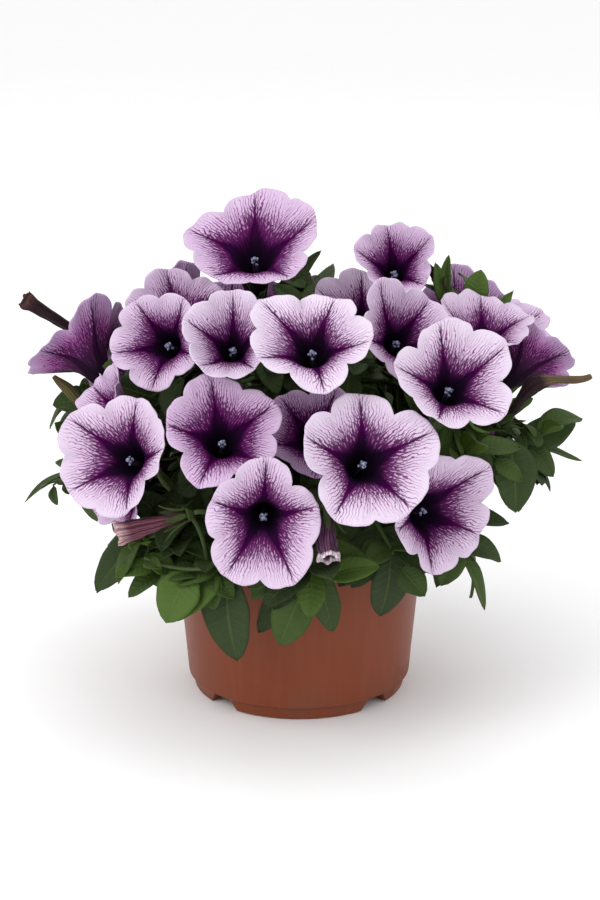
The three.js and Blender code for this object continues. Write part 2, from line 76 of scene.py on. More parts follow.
def copyOf(template, name):
    piece = template.copy()
    piece.data = template.data.copy()
    piece.name = name
    bpy.context.scene.collection.objects.link(piece)
    return piece


def shapeSheet(piece, place):  # moves each point of a sheet to place(across, along), given in millimetres
    for point in piece.data.vertices:
        point.co = place(point.co.x, point.co.y) * mm


def closeSeams(piece, facing=None):  # merges doubles, and turns an open sheet's faces the way that it faces
    activate(piece)
    bpy.ops.object.mode_set(mode="EDIT")
    bpy.ops.mesh.select_all(action="SELECT")
    bpy.ops.mesh.remove_doubles(threshold=0.01 * mm)
    bpy.ops.mesh.normals_make_consistent(inside=False)
    bpy.ops.object.mode_set(mode="OBJECT")
    if facing and sum(face.normal.dot(facing) * face.area for face in piece.data.polygons) < 0:
        bpy.ops.object.mode_set(mode="EDIT")
        bpy.ops.mesh.flip_normals()
        bpy.ops.object.mode_set(mode="OBJECT")


def smooth(piece):
    activate(piece)
    bpy.ops.object.shade_smooth()


def joinAll(pieces, name):
    deselectAll()
    for piece in pieces:
        piece.select_set(True)
    bpy.context.view_layer.objects.active = pieces[0]
    if len(pieces) > 1:
        bpy.ops.object.join()
    pieces[0].name = name
    return pieces[0]


def setValue(piece, name, value):  # one number for the whole mesh, which its material reads
    attribute = piece.data.attributes.new(name, "FLOAT", "POINT")
    attribute.data.foreach_set("value", [value] * len(piece.data.vertices))


def setMaterials(piece, *materials):
    piece.data.materials.clear()
    for material in materials:
        piece.data.materials.append(material)


def useSlot(piece, index):  # one of its materials for all its faces
    for face in piece.data.polygons:
        face.material_index = index


def replace(piece, node):
    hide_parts(node)
    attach(piece, "root")


def between(key, low, high):  # draw between two values, the same for the same key
    wave = math.sin(key * 12.9898 + 4.137) * 43758.5453
    return low + (high - low) * (wave - math.floor(wave))


def direction(az, el):
    a, e = math.radians(az), math.radians(el)
    return Vector((math.sin(a) * math.cos(e), -math.cos(a) * math.cos(e), math.sin(e)))


def ringPoint(turn, radius, z=0):  # place on a circle round Z, from +Y towards +X
    return Vector((radius * math.sin(turn), radius * math.cos(turn), z))


def frameAlong(origin, forward, towards=up):  # Z along forward, Y as near to towards as it can be
    z = forward.normalized()
    x = towards.cross(z).normalized()
    made = Matrix((x, z.cross(x), z)).transposed().to_4x4()
    made.translation = origin
    return made


def ease(value, low, high):
    share = min(max((value - low) / (high - low), 0), 1)
    return share * share * (3 - 2 * share)


def alongTable(table, share):  # value at a share of the way, straight between the (place, value) pairs
    for (a, first), (b, second) in zip(table, table[1:]):
        if share <= b:
            return first + (second - first) * (share - a) / (b - a)
    return table[-1][1]


# Materials

class Wire:  # a socket of a material, so that expressions on it add Math nodes
    def __init__(self, paint, socket):
        self.paint = paint
        self.socket = socket

    def __add__(self, other):
        return self.paint.math("ADD", self, other)

    __radd__ = __add__

    def __mul__(self, other):
        return self.paint.math("MULTIPLY", self, other)

    __rmul__ = __mul__

    def __sub__(self, other):
        return self.paint.math("SUBTRACT", self, other)

    def __rsub__(self, other):
        return self.paint.math("SUBTRACT", other, self)


def colour(red, green, blue):  # screen values from 0 to 255 as a linear colour
    def linear(c):
        c = c / 255
        return c / 12.92 if c <= 0.04045 else ((c + 0.055) / 1.055) ** 2.4
    return (linear(red), linear(green), linear(blue), 1)


class Paint:  # a material and its nodes
    def __init__(self, name, roughness=0.6, specular=0.4):
        self.material = bpy.data.materials.new(name)
        self.material.use_nodes = True
        self.tree = self.material.node_tree
        self.shader = self.tree.nodes["Principled BSDF"]
        self.shader.inputs["Roughness"].default_value = roughness
        self.shader.inputs["Specular IOR Level"].default_value = specular

    def feed(self, socket, value):
        if isinstance(value, Wire):
            self.tree.links.new(value.socket, socket)
        else:
            socket.default_value = value

    def node(self, kind, settings, sockets, output=0):
        node = self.tree.nodes.new(kind)
        for key, value in settings.items():
            if key == "stops":
                ramp = node.color_ramp
                while len(ramp.elements) < len(value):
                    ramp.elements.new(0.5)
                for element, (place, shade) in zip(ramp.elements, value):
                    element.position = place
                    element.color = shade
            else:
                setattr(node, key, value)
        for key, value in sockets.items():
            self.feed(node.inputs[key], value)
        return Wire(self, node.outputs[output])

    def math(self, operation, first, second=0.0):
        return self.node("ShaderNodeMath", {"operation": operation}, {0: first, 1: second})

    def ramp(self, value, low, high):  # eased from 0 at low to 1 at high
        return self.node("ShaderNodeMapRange", {"interpolation_type": "SMOOTHSTEP"},
                         {"Value": value, "From Min": low, "From Max": high})

    def blend(self, share, first, second):
        return self.node("ShaderNodeMix", {"data_type": "RGBA"}, {0: share, 6: first, 7: second}, 2)

    def uv(self):
        place = self.node("ShaderNodeUVMap", {"uv_map": "UVMap"}, {})
        return [self.node("ShaderNodeSeparateXYZ", {}, {0: place}, i) for i in (0, 1)]

    def number(self, name):
        return self.node("ShaderNodeAttribute", {"attribute_name": name}, {}, 2)

    def position(self):
        return self.node("ShaderNodeTexCoord", {}, {}, 3)

    def point(self, x, y):
        return self.node("ShaderNodeCombineXYZ", {}, {0: x, 1: y})

    def noise(self, place, scale, detail=3.0, roughness=0.5):
        return self.node("ShaderNodeTexNoise", {},
                         {"Vector": place, "Scale": scale, "Detail": detail, "Roughness": roughness})

    def stretched(self, place, x, y, z):
        return self.node("ShaderNodeVectorMath", {"operation": "MULTIPLY"}, {0: place, 1: (x, y, z)})

    def cellEdge(self, place, scale):  # distance to the border of the nearest cell, in cells
        return self.node("ShaderNodeTexVoronoi", {"voronoi_dimensions": "2D", "feature": "DISTANCE_TO_EDGE"},
                         {"Vector": place, "Scale": scale})

    def finish(self, base, bump=None, distance=0.0002, strength=0.5, roughness=None):
        self.feed(self.shader.inputs["Base Color"], base)
        if roughness is not None:
            self.feed(self.shader.inputs["Roughness"], roughness)
        if bump is not None:
            relief = self.node("ShaderNodeBump", {}, {"Height": bump, "Distance": distance, "Strength": strength})
            self.feed(self.shader.inputs["Normal"], relief)
        return self.material


# Camera, floor and light

view = {"target": (0.0005, 0, 0.1227), "elevation": 17, "distance": 1.1, "lens": 88, "sensor": 36}
studio = {
    "floor": 0.94, "floorGrain": 1.03, "floorSize": 14, "surround": 1.0,
    "aim": (0, 0, 0.13),  # what the lights point at
    "lights": [  # name, azimuth, elevation, distance, size, watts
        ("keyLight", -40, 40, 1.5, 0.7, 7.4),
        ("fillLight", 58, 26, 1.6, 1.1, 2),
        ("topLight", 10, 78, 1.4, 0.8, 2.2),
        ("rimLight", 165, 40, 1.7, 0.9, 2),
    ],
}


def makeCamera():
    deselectAll()
    bpy.ops.object.camera_add()
    camera = bpy.context.object
    camera.name = "photoCamera"
    camera.data.lens = view["lens"]
    camera.data.sensor_width = view["sensor"]
    camera.data.clip_start = 0.05
    back = direction(0, view["elevation"])
    camera.location = Vector(view["target"]) + back * view["distance"]
    camera.rotation_euler = (-back).to_track_quat("-Z", "Y").to_euler()
    bpy.context.scene.camera = camera


def makeFloor():
    deselectAll()
    bpy.ops.mesh.primitive_plane_add(size=studio["floorSize"], location=(0, 0, -0.0002))
    bpy.ops.object.transform_apply(location=True)
    floor = bpy.context.object
    floor.name = "studioFloor"
    paint = Paint("studioFloorPaint", roughness=0.9)
    grain = paint.noise(paint.position(), 30)
    dark, pale = [(shade, shade, shade, 1) for shade in (studio["floor"], studio["floor"] * studio["floorGrain"])]
    setMaterials(floor, paint.finish(paint.blend(grain, dark, pale)))


def makeLights():
    aim = Vector(studio["aim"])
    for name, az, el, distance, size, watts in studio["lights"]:
        deselectAll()
        place = direction(az, el) * distance + aim
        bpy.ops.object.light_add(type="AREA", location=place)
        light = bpy.context.object
        light.name = name
        light.data.size = size
        light.data.energy = watts
        light.rotation_euler = (aim - place).to_track_quat("-Z", "Y").to_euler()

    world = bpy.data.worlds.new("studioWorld")
    bpy.context.scene.world = world
    world.use_nodes = True
    backdrop = world.node_tree.nodes["Background"]
    backdrop.inputs["Color"].default_value = (1, 1, 1, 1)
    backdrop.inputs["Strength"].default_value = studio["surround"]
    bpy.context.scene.view_settings.view_transform = "Standard"


makeCamera()
makeFloor()
makeLights()
print("studio ready")


# Pot

potShape = {
    "height": 100, "topRadius": 65, "baseRadius": 56.3, "wall": 1.6, "rimWidth": 1.2, "rimHeight": 5, "sides": 160,
    "floor": 6.6, "floorThickness": 1.8, "footOuterTop": 55.1, "footOuterBottom": 53.5, "footWidth": 9,
    "feet": 4, "notchTop": 9.8, "notchBottom": 20.2, "notchReach": 64,
    "drains": 4, "drainRadius": 4, "drainRing": 38, "drainDepth": 8, "bevel": 0.4,
}


def outerAt(z):
    shape = potShape
    share = (z - shape["floor"]) / (shape["height"] - shape["floor"])
    return shape["baseRadius"] + (shape["topRadius"] - shape["baseRadius"]) * share


def potPaint():
    paint = Paint("terracottaPlastic", roughness=0.42, specular=0.25)
    place = paint.position()
    height = paint.node("ShaderNodeSeparateXYZ", {}, {0: place}, 2)
    cloud = paint.noise(place, 22, 4)
    streak = paint.noise(paint.stretched(place, 260, 260, 9), 1, 3)
    speck = paint.ramp(paint.noise(place, 900, 2), 0.66, 0.8)
    dust = (1 - paint.ramp(height, 0.006, 0.03)) * paint.ramp(paint.noise(place, 60, 4), 0.42, 0.7)
    base = paint.blend(cloud, colour(114, 52, 28), colour(126, 62, 36))
    base = paint.blend(paint.ramp(streak, 0.45, 0.75) * 0.15, base, colour(140, 80, 58))
    base = paint.blend(speck * 0.3, base, colour(92, 44, 30))
    base = paint.blend(dust * 0.35, base, colour(104, 74, 58))
    grain = paint.noise(place, 1700, 2)
    bump = grain * 0.5 + streak * 0.6 + cloud * 0.8
    gloss = 0.36 + cloud * 0.12 + dust * 0.25 + speck * 0.1
    return paint.finish(base, bump, 0.00012, 0.45, gloss)


def potProfile():  # radius and height, from the middle of the underside round to the middle of the floor
    shape = potShape
    top, floor, wall, base = shape["height"], shape["floor"], shape["wall"], shape["baseRadius"]
    footTop, footLow = shape["footOuterTop"], shape["footOuterBottom"]
    footIn = footLow - shape["footWidth"]
    inside = floor + shape["floorThickness"]
    rim = outerAt(top) + shape["rimWidth"]
    lip = top - shape["rimHeight"]
    return [
        (0, floor), (20, floor), (footIn - 1, floor), (footIn, floor - 0.8), (footIn, 0.5), (footIn + 0.5, 0),
        (footLow - 0.7, 0), (footLow, 0.6), (footTop - 0.9, floor - 1.4), (footTop - 0.2, floor - 0.5),
        (base + 0.1, floor + 0.7), (outerAt(floor + 2.2) + 0.15, floor + 2.2),
        (outerAt(20), 20), (outerAt(45), 45), (outerAt(70), 70),
        (outerAt(lip) - 0.1, lip), (outerAt(lip) + 0.25, lip + 0.25), (rim - 0.35, lip + 0.9), (rim - 0.05, lip + 1.5),
        (rim - 0.1, top - 1.1), (rim - 0.4, top - 0.3), (rim - 1, top), (rim - 2, top), (rim - 2.6, top - 0.3),
        (outerAt(top) - wall, top - 1.2), (outerAt(60) - wall, 60), (outerAt(inside + 4) - wall, inside + 4),
        (outerAt(inside) - wall - 1, inside + 1), (outerAt(inside) - wall - 4, inside), (0, inside),
    ]


def potCutters():
    shape = potShape
    cutters = []
    for i in range(shape["feet"]):  # gaps between the feet, wider at the surface
        deselectAll()
        bpy.ops.mesh.primitive_cube_add(size=1, location=(0, 0, 0))
        cutter = bpy.context.object
        for point in cutter.data.vertices:
            wide, z = (shape["notchBottom"], -1) if point.co.z < 0 else (shape["notchTop"], shape["floor"] + 0.02)
            point.co = Vector((point.co.x * wide, 0 if point.co.y > 0 else -shape["notchReach"], z)) * mm
        turn = 2 * math.pi * (i + 0.5) / shape["feet"]
        cutter.data.transform(Matrix.Rotation(turn, 4, "Z"))
        cutters.append(cutter)
    height = (shape["floor"] + shape["floorThickness"] / 2) * mm
    for i in range(shape["drains"]):
        deselectAll()
        turn = 2 * math.pi * i / shape["drains"]
        place = (shape["drainRing"] * math.sin(turn) * mm, shape["drainRing"] * math.cos(turn) * mm, height)
        bpy.ops.mesh.primitive_cylinder_add(vertices=32, radius=shape["drainRadius"] * mm,
                                            depth=shape["drainDepth"] * mm, location=place)
        bpy.ops.object.transform_apply(location=True)
        cutters.append(bpy.context.object)
    return cutters


def makePot():
    shape = potShape
    profile = potProfile()
    last = len(profile) - 1
    pot = newGrid("pot_shell", shape["sides"], last)

    def onPot(across, along):
        radius, z = profile[round(along * last)]
        turn = 2 * math.pi * across
        return Vector((radius * math.sin(turn), -radius * math.cos(turn), z))

    shapeSheet(pot, onPot)
    closeSeams(pot)
    for cutter in potCutters():
        applyModifier(pot, "BOOLEAN", operation="DIFFERENCE", object=cutter, solver="EXACT")
        bpy.data.objects.remove(cutter)
    applyModifier(pot, "BEVEL", width=shape["bevel"] * mm, segments=2, limit_method="ANGLE",
                  angle_limit=math.radians(50))
    closeSeams(pot)  # the bevel leaves faces without area where edges lie close
    bpy.ops.object.shade_smooth_by_angle(angle=math.radians(32))
    setMaterials(pot, potPaint())
    replace(pot, "pot")


makePot()
print("pot made")


# Potting soil

soilShape = {
    "edge": 87, "crown": 4, "relief": 1.4, "rough": 1.1, "gap": 0.6, "columns": 120, "rows": 40,
    "crumbs": 420, "crumbSize": 1.5,
}


def soilHeight(x, y):
    reach = math.hypot(x, y) / (outerAt(soilShape["edge"]) - potShape["wall"])
    crumbs = math.sin(x * 0.31) * math.cos(y * 0.27) + math.sin(x * 0.13 + y * 0.21)
    return soilShape["edge"] + soilShape["crown"] * (1 - reach * reach) + soilShape["relief"] * 0.5 * crumbs


def soilPaint():
    paint = Paint("pottingSoil", roughness=0.95)
    place = paint.position()
    coarse = paint.noise(place, 160, 5, 0.65)
    fibre = paint.noise(paint.stretched(place, 900, 160, 500), 1, 3)
    base = paint.blend(paint.ramp(coarse, 0.3, 0.7), colour(30, 21, 15), colour(74, 54, 38))
    base = paint.blend(paint.ramp(fibre, 0.62, 0.75), base, colour(112, 84, 58))
    return paint.finish(base, coarse + fibre * 0.4, 0.0015, 0.9)


def makeSoil():
    shape = soilShape
    low = potShape["floor"] + potShape["floorThickness"] + 0.3
    edge = outerAt(shape["edge"]) - potShape["wall"] - shape["gap"]
    side = 5  # first row of the upper surface
    sheet = newGrid("soil_bed", shape["columns"], shape["rows"])

    def onSoil(across, along):
        turn = 2 * math.pi * across
        row = round(along * shape["rows"])
        if row < 2:  # underside
            radius, z = 0, low
        elif row < 3:
            radius, z = outerAt(low) - potShape["wall"] - 4.5, low
        elif row < side:
            radius, z = outerAt(low + 4) - potShape["wall"] - shape["gap"], low + 4
        else:
            radius, z = edge * (1 - (row - side) / (shape["rows"] - side)), None
        x, y = radius * math.sin(turn), -radius * math.cos(turn)
        if z is None:
            rough = noise.fractal(Vector((x, y, 3)) * 0.22, 0.8, 2.1, 4) * shape["rough"]
            z = soilHeight(x, y) + rough * ease(edge - radius, 0, 5)
        return Vector((x, y, z))

    shapeSheet(sheet, onSoil)
    closeSeams(sheet)
    smooth(sheet)
    deselectAll()
    bpy.ops.mesh.primitive_ico_sphere_add(subdivisions=1, radius=1)
    grain = bpy.context.object
    pieces = [sheet]
    for i in range(shape["crumbs"]):
        radius, turn = edge * math.sqrt(between(i + 900, 0, 0.95)), between(i + 1900, 0, drawnTurn)
        x, y = radius * math.sin(turn), radius * math.cos(turn)
        crumb = copyOf(grain, f"crumb{i}")
        size = shape["crumbSize"] * between(i + 2900, 0.35, 1.0)
        spin = Matrix.Rotation(turn * 3, 3, Vector((math.sin(i), math.cos(i), 0.5)))
        for point in crumb.data.vertices:
            bumpy = 1 + 0.35 * noise.noise(point.co * 1.7 + Vector((i, 0, 0)))
            stretch = Vector((point.co.x * 1.2, point.co.y * 0.8, point.co.z * 0.65)) * size * bumpy
            point.co = (spin @ stretch + Vector((x, y, soilHeight(x, y) + 0.3))) * mm
        pieces.append(crumb)
    bpy.data.objects.remove(grain)
    soil = joinAll(pieces, "soil_bed")
    setMaterials(soil, soilPaint())
    replace(soil, "soil")


makeSoil()
print("soil made")


# Flowers. Each limb spreads in the plane through its centre, and its tube ends behind.

lobes = 5
tubeShare = 0.35  # part of a corolla's sheet that is tube and throat
throatReach = 0.2  # radius of the throat where the limb begins, as a share of the limb's
bloomColumns = ("at", "az", "el", "width", "roll", "cup", "deep", "tall")  # the last two may be left out
bloomTable = [
    ((-22, -27, 234), -6, 53, 64, -3, 0.1, 0.75, 0.95),
    ((-60, -12, 196), -12, 42, 49, -20, 0.1, 0.6),
    ((-66, -63, 195), -24, 24, 46, 32, 0.12, 0.5),
    ((-31, -85, 202), -4, 42, 43, 0, 0.25, 0.15, 1.1),
    ((-109, 4, 177), -132, 42, 58, 10, 0.05),
    ((5, -106, 207), -6, 46, 57, 22, 0.1, 0.05, 0.88),
    ((26, -26, 201), -22, 42, 40, 0, 0.2, 0.3),
    ((50, 66, 170), 148, 46, 48, 36, 0.12),
    ((46, -20, 224), 0, 44, 38, -10, 0.2, 0.7, 1.1),
    ((49, -70, 200), 20, 34, 46, -25, 0.25, 0.45, 1.1),
    ((70, -99, 187), 12, 42, 55, -7, 0.1, 0.1),
    ((90, -24, 195), 14, 68, 46, 10, 0.1, 0.35),
    ((117, 17, 166), 143, 24, 45, 0, 0.12),
    ((115, 56, 176), 70, 48, 40, 30, 0.1),
    ((84, 32, 188), 165, 35, 48, 12, 0.1),
    ((-84, -90, 148), -28, 27, 58, 8, 0.1, 0.3),
    ((-34, -107, 164), 5, 40, 53, -10, 0.1, 0.8),
    ((6, -76, 155), -2, 40, 44, 30, 0.1, 1.0),
    ((31, -124, 157), 12, 30, 62, 0, 0.06, 0.15),
    ((-16, -128, 127), 0, 3, 52, 3, 0.08, 0.45, 1.16),
    ((65, -104, 124), 38, 10, 60, -19, 0.1, 0.35, 0.9),
    ((-88, -58, 118), -52, -14, 42, 20, 0.1, 0.7),
    ((-94, -48, 158), -62, 26, 45, 0, 0.12, 0.6),
    ((-24, 30, 218), -160, 66, 56, 14, 0.1),
    ((-68, 46, 186), -140, 44, 52, -8, 0.12),
    ((2, 72, 184), 170, 48, 54, 20, 0.08),
    ((-40, 92, 168), -162, 32, 60, 0, 0.1),
    ((80, 88, 144), 142, 24, 58, -15, 0.1),
    ((-88, 70, 150), -128, 24, 56, 26, 0.1),
    ((22, 126, 146), 174, 20, 62, 6, 0.08),
    ((98, 62, 116), 118, 8, 54, 18, 0.1),
    ((-48, 112, 118), -156, 8, 58, -12, 0.1),
]
blooms = [dict(zip(bloomColumns, row), name=f"bloom_{i + 1:02d}", key=10 * i) for i, row in enumerate(bloomTable)]

corolla = {
    "columns": 120, "rows": 34, "thickness": 0.34, "depth": 37, "throatDepth": 20,
    "notch": (0.11, 0.24),  # how deep the gaps between lobes are, least and most, as a share of the radius
    "point": (-0.012, 0.03),  # how far a lobe's tip stands out
    "curl": (-0.19, 0.15),  # how far a lobe bends back or up
    "twist": 0.08,  # how far the whole limb waves
    "edgeWaves": [(0.04, 3, 1), (0.006, 13, 1), (0.004, 29, 2)],  # size, count and shift of the edge's waves
    "ruffles": [(1, 7, 1), (0.7, 12, 1.7), (0.5, 19, 2.3)],  # the same for the waves in the limb's height
    "ruffle": 0.65,  # millimetres, of those
    "crease": 0.85,  # how deep the midveins lie
    "groove": 0.7,  # how deep the seams between the lobes lie
    "pillow": 0.8,  # how far each half of a lobe swells
    "profile": [  # height behind the limb's plane, at a share of the limb's radius
        (0.2, -20), (0.25, -15.6), (0.31, -12), (0.39, -9), (0.5, -6.3), (0.62, -4.2), (0.76, -2.3),
        (0.9, -0.7), (1, 0),
    ],
    "tube": [(0, 0), (0.06, 2.0), (0.2, 2.2), (0.45, 2.7), (0.7, 3.5), (1, 5)],  # radius on the way up
    "mouth": 0.19,  # radius of the tube's end as a share of the limb's, in place of the 5 above
}


def bloomFrame(bloom):
    turned = Matrix.Rotation(-math.radians(bloom["roll"]), 4, "Z")
    return frameAlong(Vector(bloom["at"]), direction(bloom["az"], bloom["el"])) @ turned


def edgeOf(bloom, turn):  # reach and lift of a bloom's edge, and how far the place is from a lobe's middle
    shape, radius, key = corolla, bloom["width"] / 2, bloom["key"]
    sector = 2 * math.pi / lobes
    lobe = math.floor(turn / sector + 0.5)
    off = abs(turn / sector - lobe) * 2
    notch = between(key + 50 + math.floor(turn / sector) % lobes, *shape["notch"])
    point = between(key + 60 + lobe % lobes, *shape["point"]) * math.exp(-((off / 0.2) ** 2))
    reach = 1 - notch * off ** 3.6 + point
    for size, count, shift in shape["edgeWaves"]:
        reach += size * math.sin(count * turn + shift * key)
    curl = between(key + (lobe % lobes), *shape["curl"]) * (1 - off) ** 0.8
    lift = bloom["cup"] + curl + shape["twist"] * math.sin(2 * turn + key)
    return radius * reach, radius * lift, off


def onTubeOf(bloom, turn, share):  # place on the narrow part of a corolla
    shape, radius = corolla, bloom["width"] / 2
    wide = 1 + (shape["mouth"] * radius / 5 - 1) * share
    ribs = 1 + 0.05 * math.cos(lobes * turn) * share
    r = alongTable(shape["tube"], share) * wide * ribs
    z = -shape["depth"] + (shape["depth"] - shape["throatDepth"]) * max(share - 0.06, 0) / 0.94
    return ringPoint(turn, r, z)


def onCorolla(bloom, across, along):
    shape, radius, key = corolla, bloom["width"] / 2, bloom["key"]
    turn = 2 * math.pi * across
    if along < tubeShare:
        return onTubeOf(bloom, turn, along / tubeShare)
    rho = throatReach + (1 - throatReach) * (along - tubeShare) / (1 - tubeShare)
    reach, lift, off = edgeOf(bloom, turn)
    spread = ((rho - throatReach) / (1 - throatReach)) ** 2.2
    r = radius * rho * 0.97 + (reach - radius * 0.97) * spread * rho
    z = alongTable(shape["profile"], rho) + lift * max((rho - 0.42) / 0.58, 0) ** 1.5
    waves = sum(size * math.sin(count * turn + shift * key) for size, count, shift in shape["ruffles"])
    z += shape["ruffle"] * waves * ease(rho, 0.6, 1)
    z -= shape["crease"] * math.exp(-((off / 0.16) ** 2)) * ease(rho, 0.25, 0.5) * (1 - 0.4 * ease(rho, 0.8, 1))
    z -= shape["groove"] * math.exp(-(((1 - off) / 0.12) ** 2)) * ease(rho, 0.3, 0.7)
    z += shape["pillow"] * (math.sin(math.pi * off) - 0.5) * ease(rho, 0.3, 0.65) * (1 - 0.5 * ease(rho, 0.8, 1))
    tall = 1 + (bloom.get("tall", 1) - 1) * ease(rho, 0.2, 0.6)
    return Vector((r * math.sin(turn), r * math.cos(turn) * tall, z))


petalTones = {  # the second of a pair is for the deepest coloured flowers
    "edge": (colour(217, 204, 221), colour(198, 172, 203)), "pale": (colour(206, 180, 208), colour(178, 132, 180)),
    "wash": colour(150, 32, 138), "fineVein": colour(144, 48, 138), "vein": colour(70, 0, 68),
    "star": colour(44, 0, 48), "throat": colour(22, 10, 29),
    "backEdge": colour(198, 172, 208), "back": colour(176, 92, 168), "backVein": colour(44, 8, 46),
    "tube": colour(22, 9, 24), "anther": colour(62, 66, 88), "filament": colour(50, 42, 60),
}


petalStar = {  # how far the dark star reaches, as shares of the limb's radius
    "reach": 0.235, "deep": 0.12, "varied": 0.03, "arms": 0.27, "patches": 0.1, "fade": 0.68, "streaks": 0.3,
}
petalVeins = {"first": (0.26, 21), "second": (0.62, 18), "sway": 3.0, "jag": 0.55, "net": (24, 9)}  # lean and count


def petalPaint(outside):
    tones, star, shape = petalTones, petalStar, petalVeins
    paint = Paint("petalOutside" if outside else "petalInside", roughness=0.66, specular=0.04)
    across, along = paint.uv()
    seed = paint.number("seed")
    deep = paint.number("deep")
    place = paint.position()
    wobble = paint.noise(place, 330, 2) - 0.5
    lobeAt = across * lobes + 0.5
    lobe = paint.math("FLOOR", lobeAt)
    off = (lobeAt - lobe) * 2 - 1  # -1 and 1 in the notches, 0 on a midvein
    away = paint.math("ABSOLUTE", off)
    side = paint.math("SIGN", off)
    rho = throatReach + (along - tubeShare) * ((1 - throatReach) / (1 - tubeShare))
    sideways = away * paint.math("MAXIMUM", rho, 0.05) * 0.63
    shift = lobe * 13.7 + side * 5.3 + seed * 71
    jag = paint.noise(place, 700, 2) - 0.5

    def slanted(lean):  # places across and along veins that leave the midvein at an angle
        return (sideways * math.cos(lean) - rho * math.sin(lean) + wobble * 0.012,
                sideways * math.sin(lean) + rho * math.cos(lean))

    def veins(lean, count, width):
        a, b = slanted(lean)
        sway = paint.noise(paint.point(a * 7 + shift * lean, b * 5), 1, 3) - 0.5
        gap = paint.math("PINGPONG", a * count + sway * shape["sway"] + jag * shape["jag"] + shift, 0.5)
        return 1 - paint.ramp(gap - width, -0.04, 0.045)

    a, b = slanted(0.42)
    streak = paint.noise(paint.point(a * 70 + shift, b * 4), 1, 2)
    patchy = paint.noise(place, 90, 2) - 0.5
    arms = paint.math("POWER", 1 - away, 3.0) * star["arms"]
    starAt = star["reach"] + deep * star["deep"] + seed * star["varied"] + arms + patchy * star["patches"]
    beyond = rho - starAt
    near = paint.math("MAXIMUM", paint.math("MINIMUM", 1 - beyond * (1 / star["fade"]), 1.0), 0.0)
    thick = paint.math("POWER", near, 4.0) * 0.22 + 0.075 + near * (0.07 + deep * 0.05)
    firstLine = veins(*shape["first"], thick) * paint.ramp(near, -0.1, 0.5)
    secondLine = veins(*shape["second"], thick * 0.75) * paint.ramp(near, 0.25, 0.75)
    mesh = paint.cellEdge(paint.point(a * shape["net"][0] + shift, b * shape["net"][1] + shift), 1)
    netLine = (1 - paint.ramp(mesh - thick * 0.6, -0.03, 0.04)) * paint.ramp(near, 0.4, 0.8) * 0.9
    lines = paint.math("MAXIMUM", firstLine, paint.math("MAXIMUM", secondLine, netLine))
    midWidth = 0.012 + paint.math("MAXIMUM", 0.66 - rho, 0.0) * 0.15
    midline = (1 - paint.ramp(sideways - midWidth, -0.004, 0.008)) * (1 - paint.ramp(rho, 0.84, 1.0))
    solid = 1 - paint.ramp(beyond + (streak - 0.5) * star["streaks"], -0.05, 0.06)
    throat = 1 - paint.ramp(rho + wobble * 0.05 + paint.math("POWER", away, 2.0) * 0.08, 0.22, 0.48)
    lineTone = paint.blend(paint.ramp(near, 0.2, 0.75), tones["fineVein"], tones["vein"])
    if outside:
        base = paint.blend(paint.ramp(rho, 0.55, 1.0), tones["back"], tones["backEdge"])
        base = paint.blend(streak * 0.3, base, tones["back"])
        base = paint.blend(lines * 0.85, base, tones["backVein"])
        base = paint.blend(midline * 0.85, base, tones["backVein"])
        base = paint.blend(1 - paint.ramp(rho, 0.16, 0.5), base, tones["tube"])
    else:
        edge = paint.blend(deep, *tones["edge"])
        base = paint.blend(paint.ramp(rho, 0.4, 0.9), paint.blend(deep, *tones["pale"]), edge)
        base = paint.blend((1 - paint.ramp(beyond, -0.02, 0.32)) * 0.75, base, tones["wash"])
        base = paint.blend(paint.ramp(streak, 0.5, 0.85) * 0.2, base, tones["wash"])
        base = paint.blend(lines * 0.92, base, lineTone)
        base = paint.blend(midline * 0.95, base, tones["vein"])
        base = paint.blend(solid * 0.95, base, tones["star"])
        base = paint.blend(throat, base, tones["throat"])
    bump = streak * 0.6 - lines * 0.35 - midline * 0.8 + paint.noise(place, 1500, 2) * 0.25
    return paint.finish(base, bump, 0.00045, 0.6, 0.58 + streak * 0.14)


def plainPaint(name, first, second, scale, roughness=0.5, distance=0.0001):
    paint = Paint(name, roughness=roughness)
    cloud = paint.noise(paint.position(), scale, 3)
    return paint.finish(paint.blend(paint.ramp(cloud, 0.35, 0.65), first, second), cloud, distance, 0.6)


stamenShape = {
    "anthers": 5, "ring": 1.25, "foot": 2, "reach": 19, "uneven": 1.3, "stigma": 21, "thread": 0.28,
    "behind": 33,  # how far behind the limb's plane they start
}


def makeStamens():  # a stigma among the anthers on their filaments, along +Z
    shape = stamenShape
    count = shape["anthers"]
    pieces = []
    for i in range(count + 1):  # the last is the stigma
        turn = 2 * math.pi * i / count
        radius = shape["ring"] if i < count else 0
        high = shape["reach"] + shape["uneven"] * math.sin(i * 2.2) if i < count else shape["stigma"]
        foot, head = ringPoint(turn, 0.5, shape["foot"]), ringPoint(turn, radius, high)
        stalk = newGrid("filament", 6, 4)
        shapeSheet(stalk, lambda u, v: foot.lerp(head, v) + ringPoint(2 * math.pi * u, shape["thread"]))
        closeSeams(stalk)
        setMaterials(stalk, *flowerPaints)
        useSlot(stalk, 3)
        deselectAll()
        bpy.ops.mesh.primitive_uv_sphere_add(segments=12, ring_count=8, radius=1)
        tip = bpy.context.object
        lean = Matrix.Rotation(turn, 3, "Z")
        for point in tip.data.vertices:
            grooved = 1 - 0.28 * math.exp(-((point.co.x / 0.25) ** 2))
            size = (1.0, 0.75 * grooved, 0.7) if i < count else (1.1, 1.1, 0.6)
            point.co = (lean @ Vector([a * b for a, b in zip(point.co, size)]) + head) * mm
        setMaterials(tip, *flowerPaints)
        useSlot(tip, 2)
        pieces += [stalk, tip]
    return joinAll(pieces, "stamensModel")


flowerPaints = [
    petalPaint(False),
    petalPaint(True),
    plainPaint("anther", petalTones["anther"], colour(150, 156, 186), 1200, 0.6),
    plainPaint("filament", petalTones["filament"], colour(90, 70, 100), 900, 0.5),
]


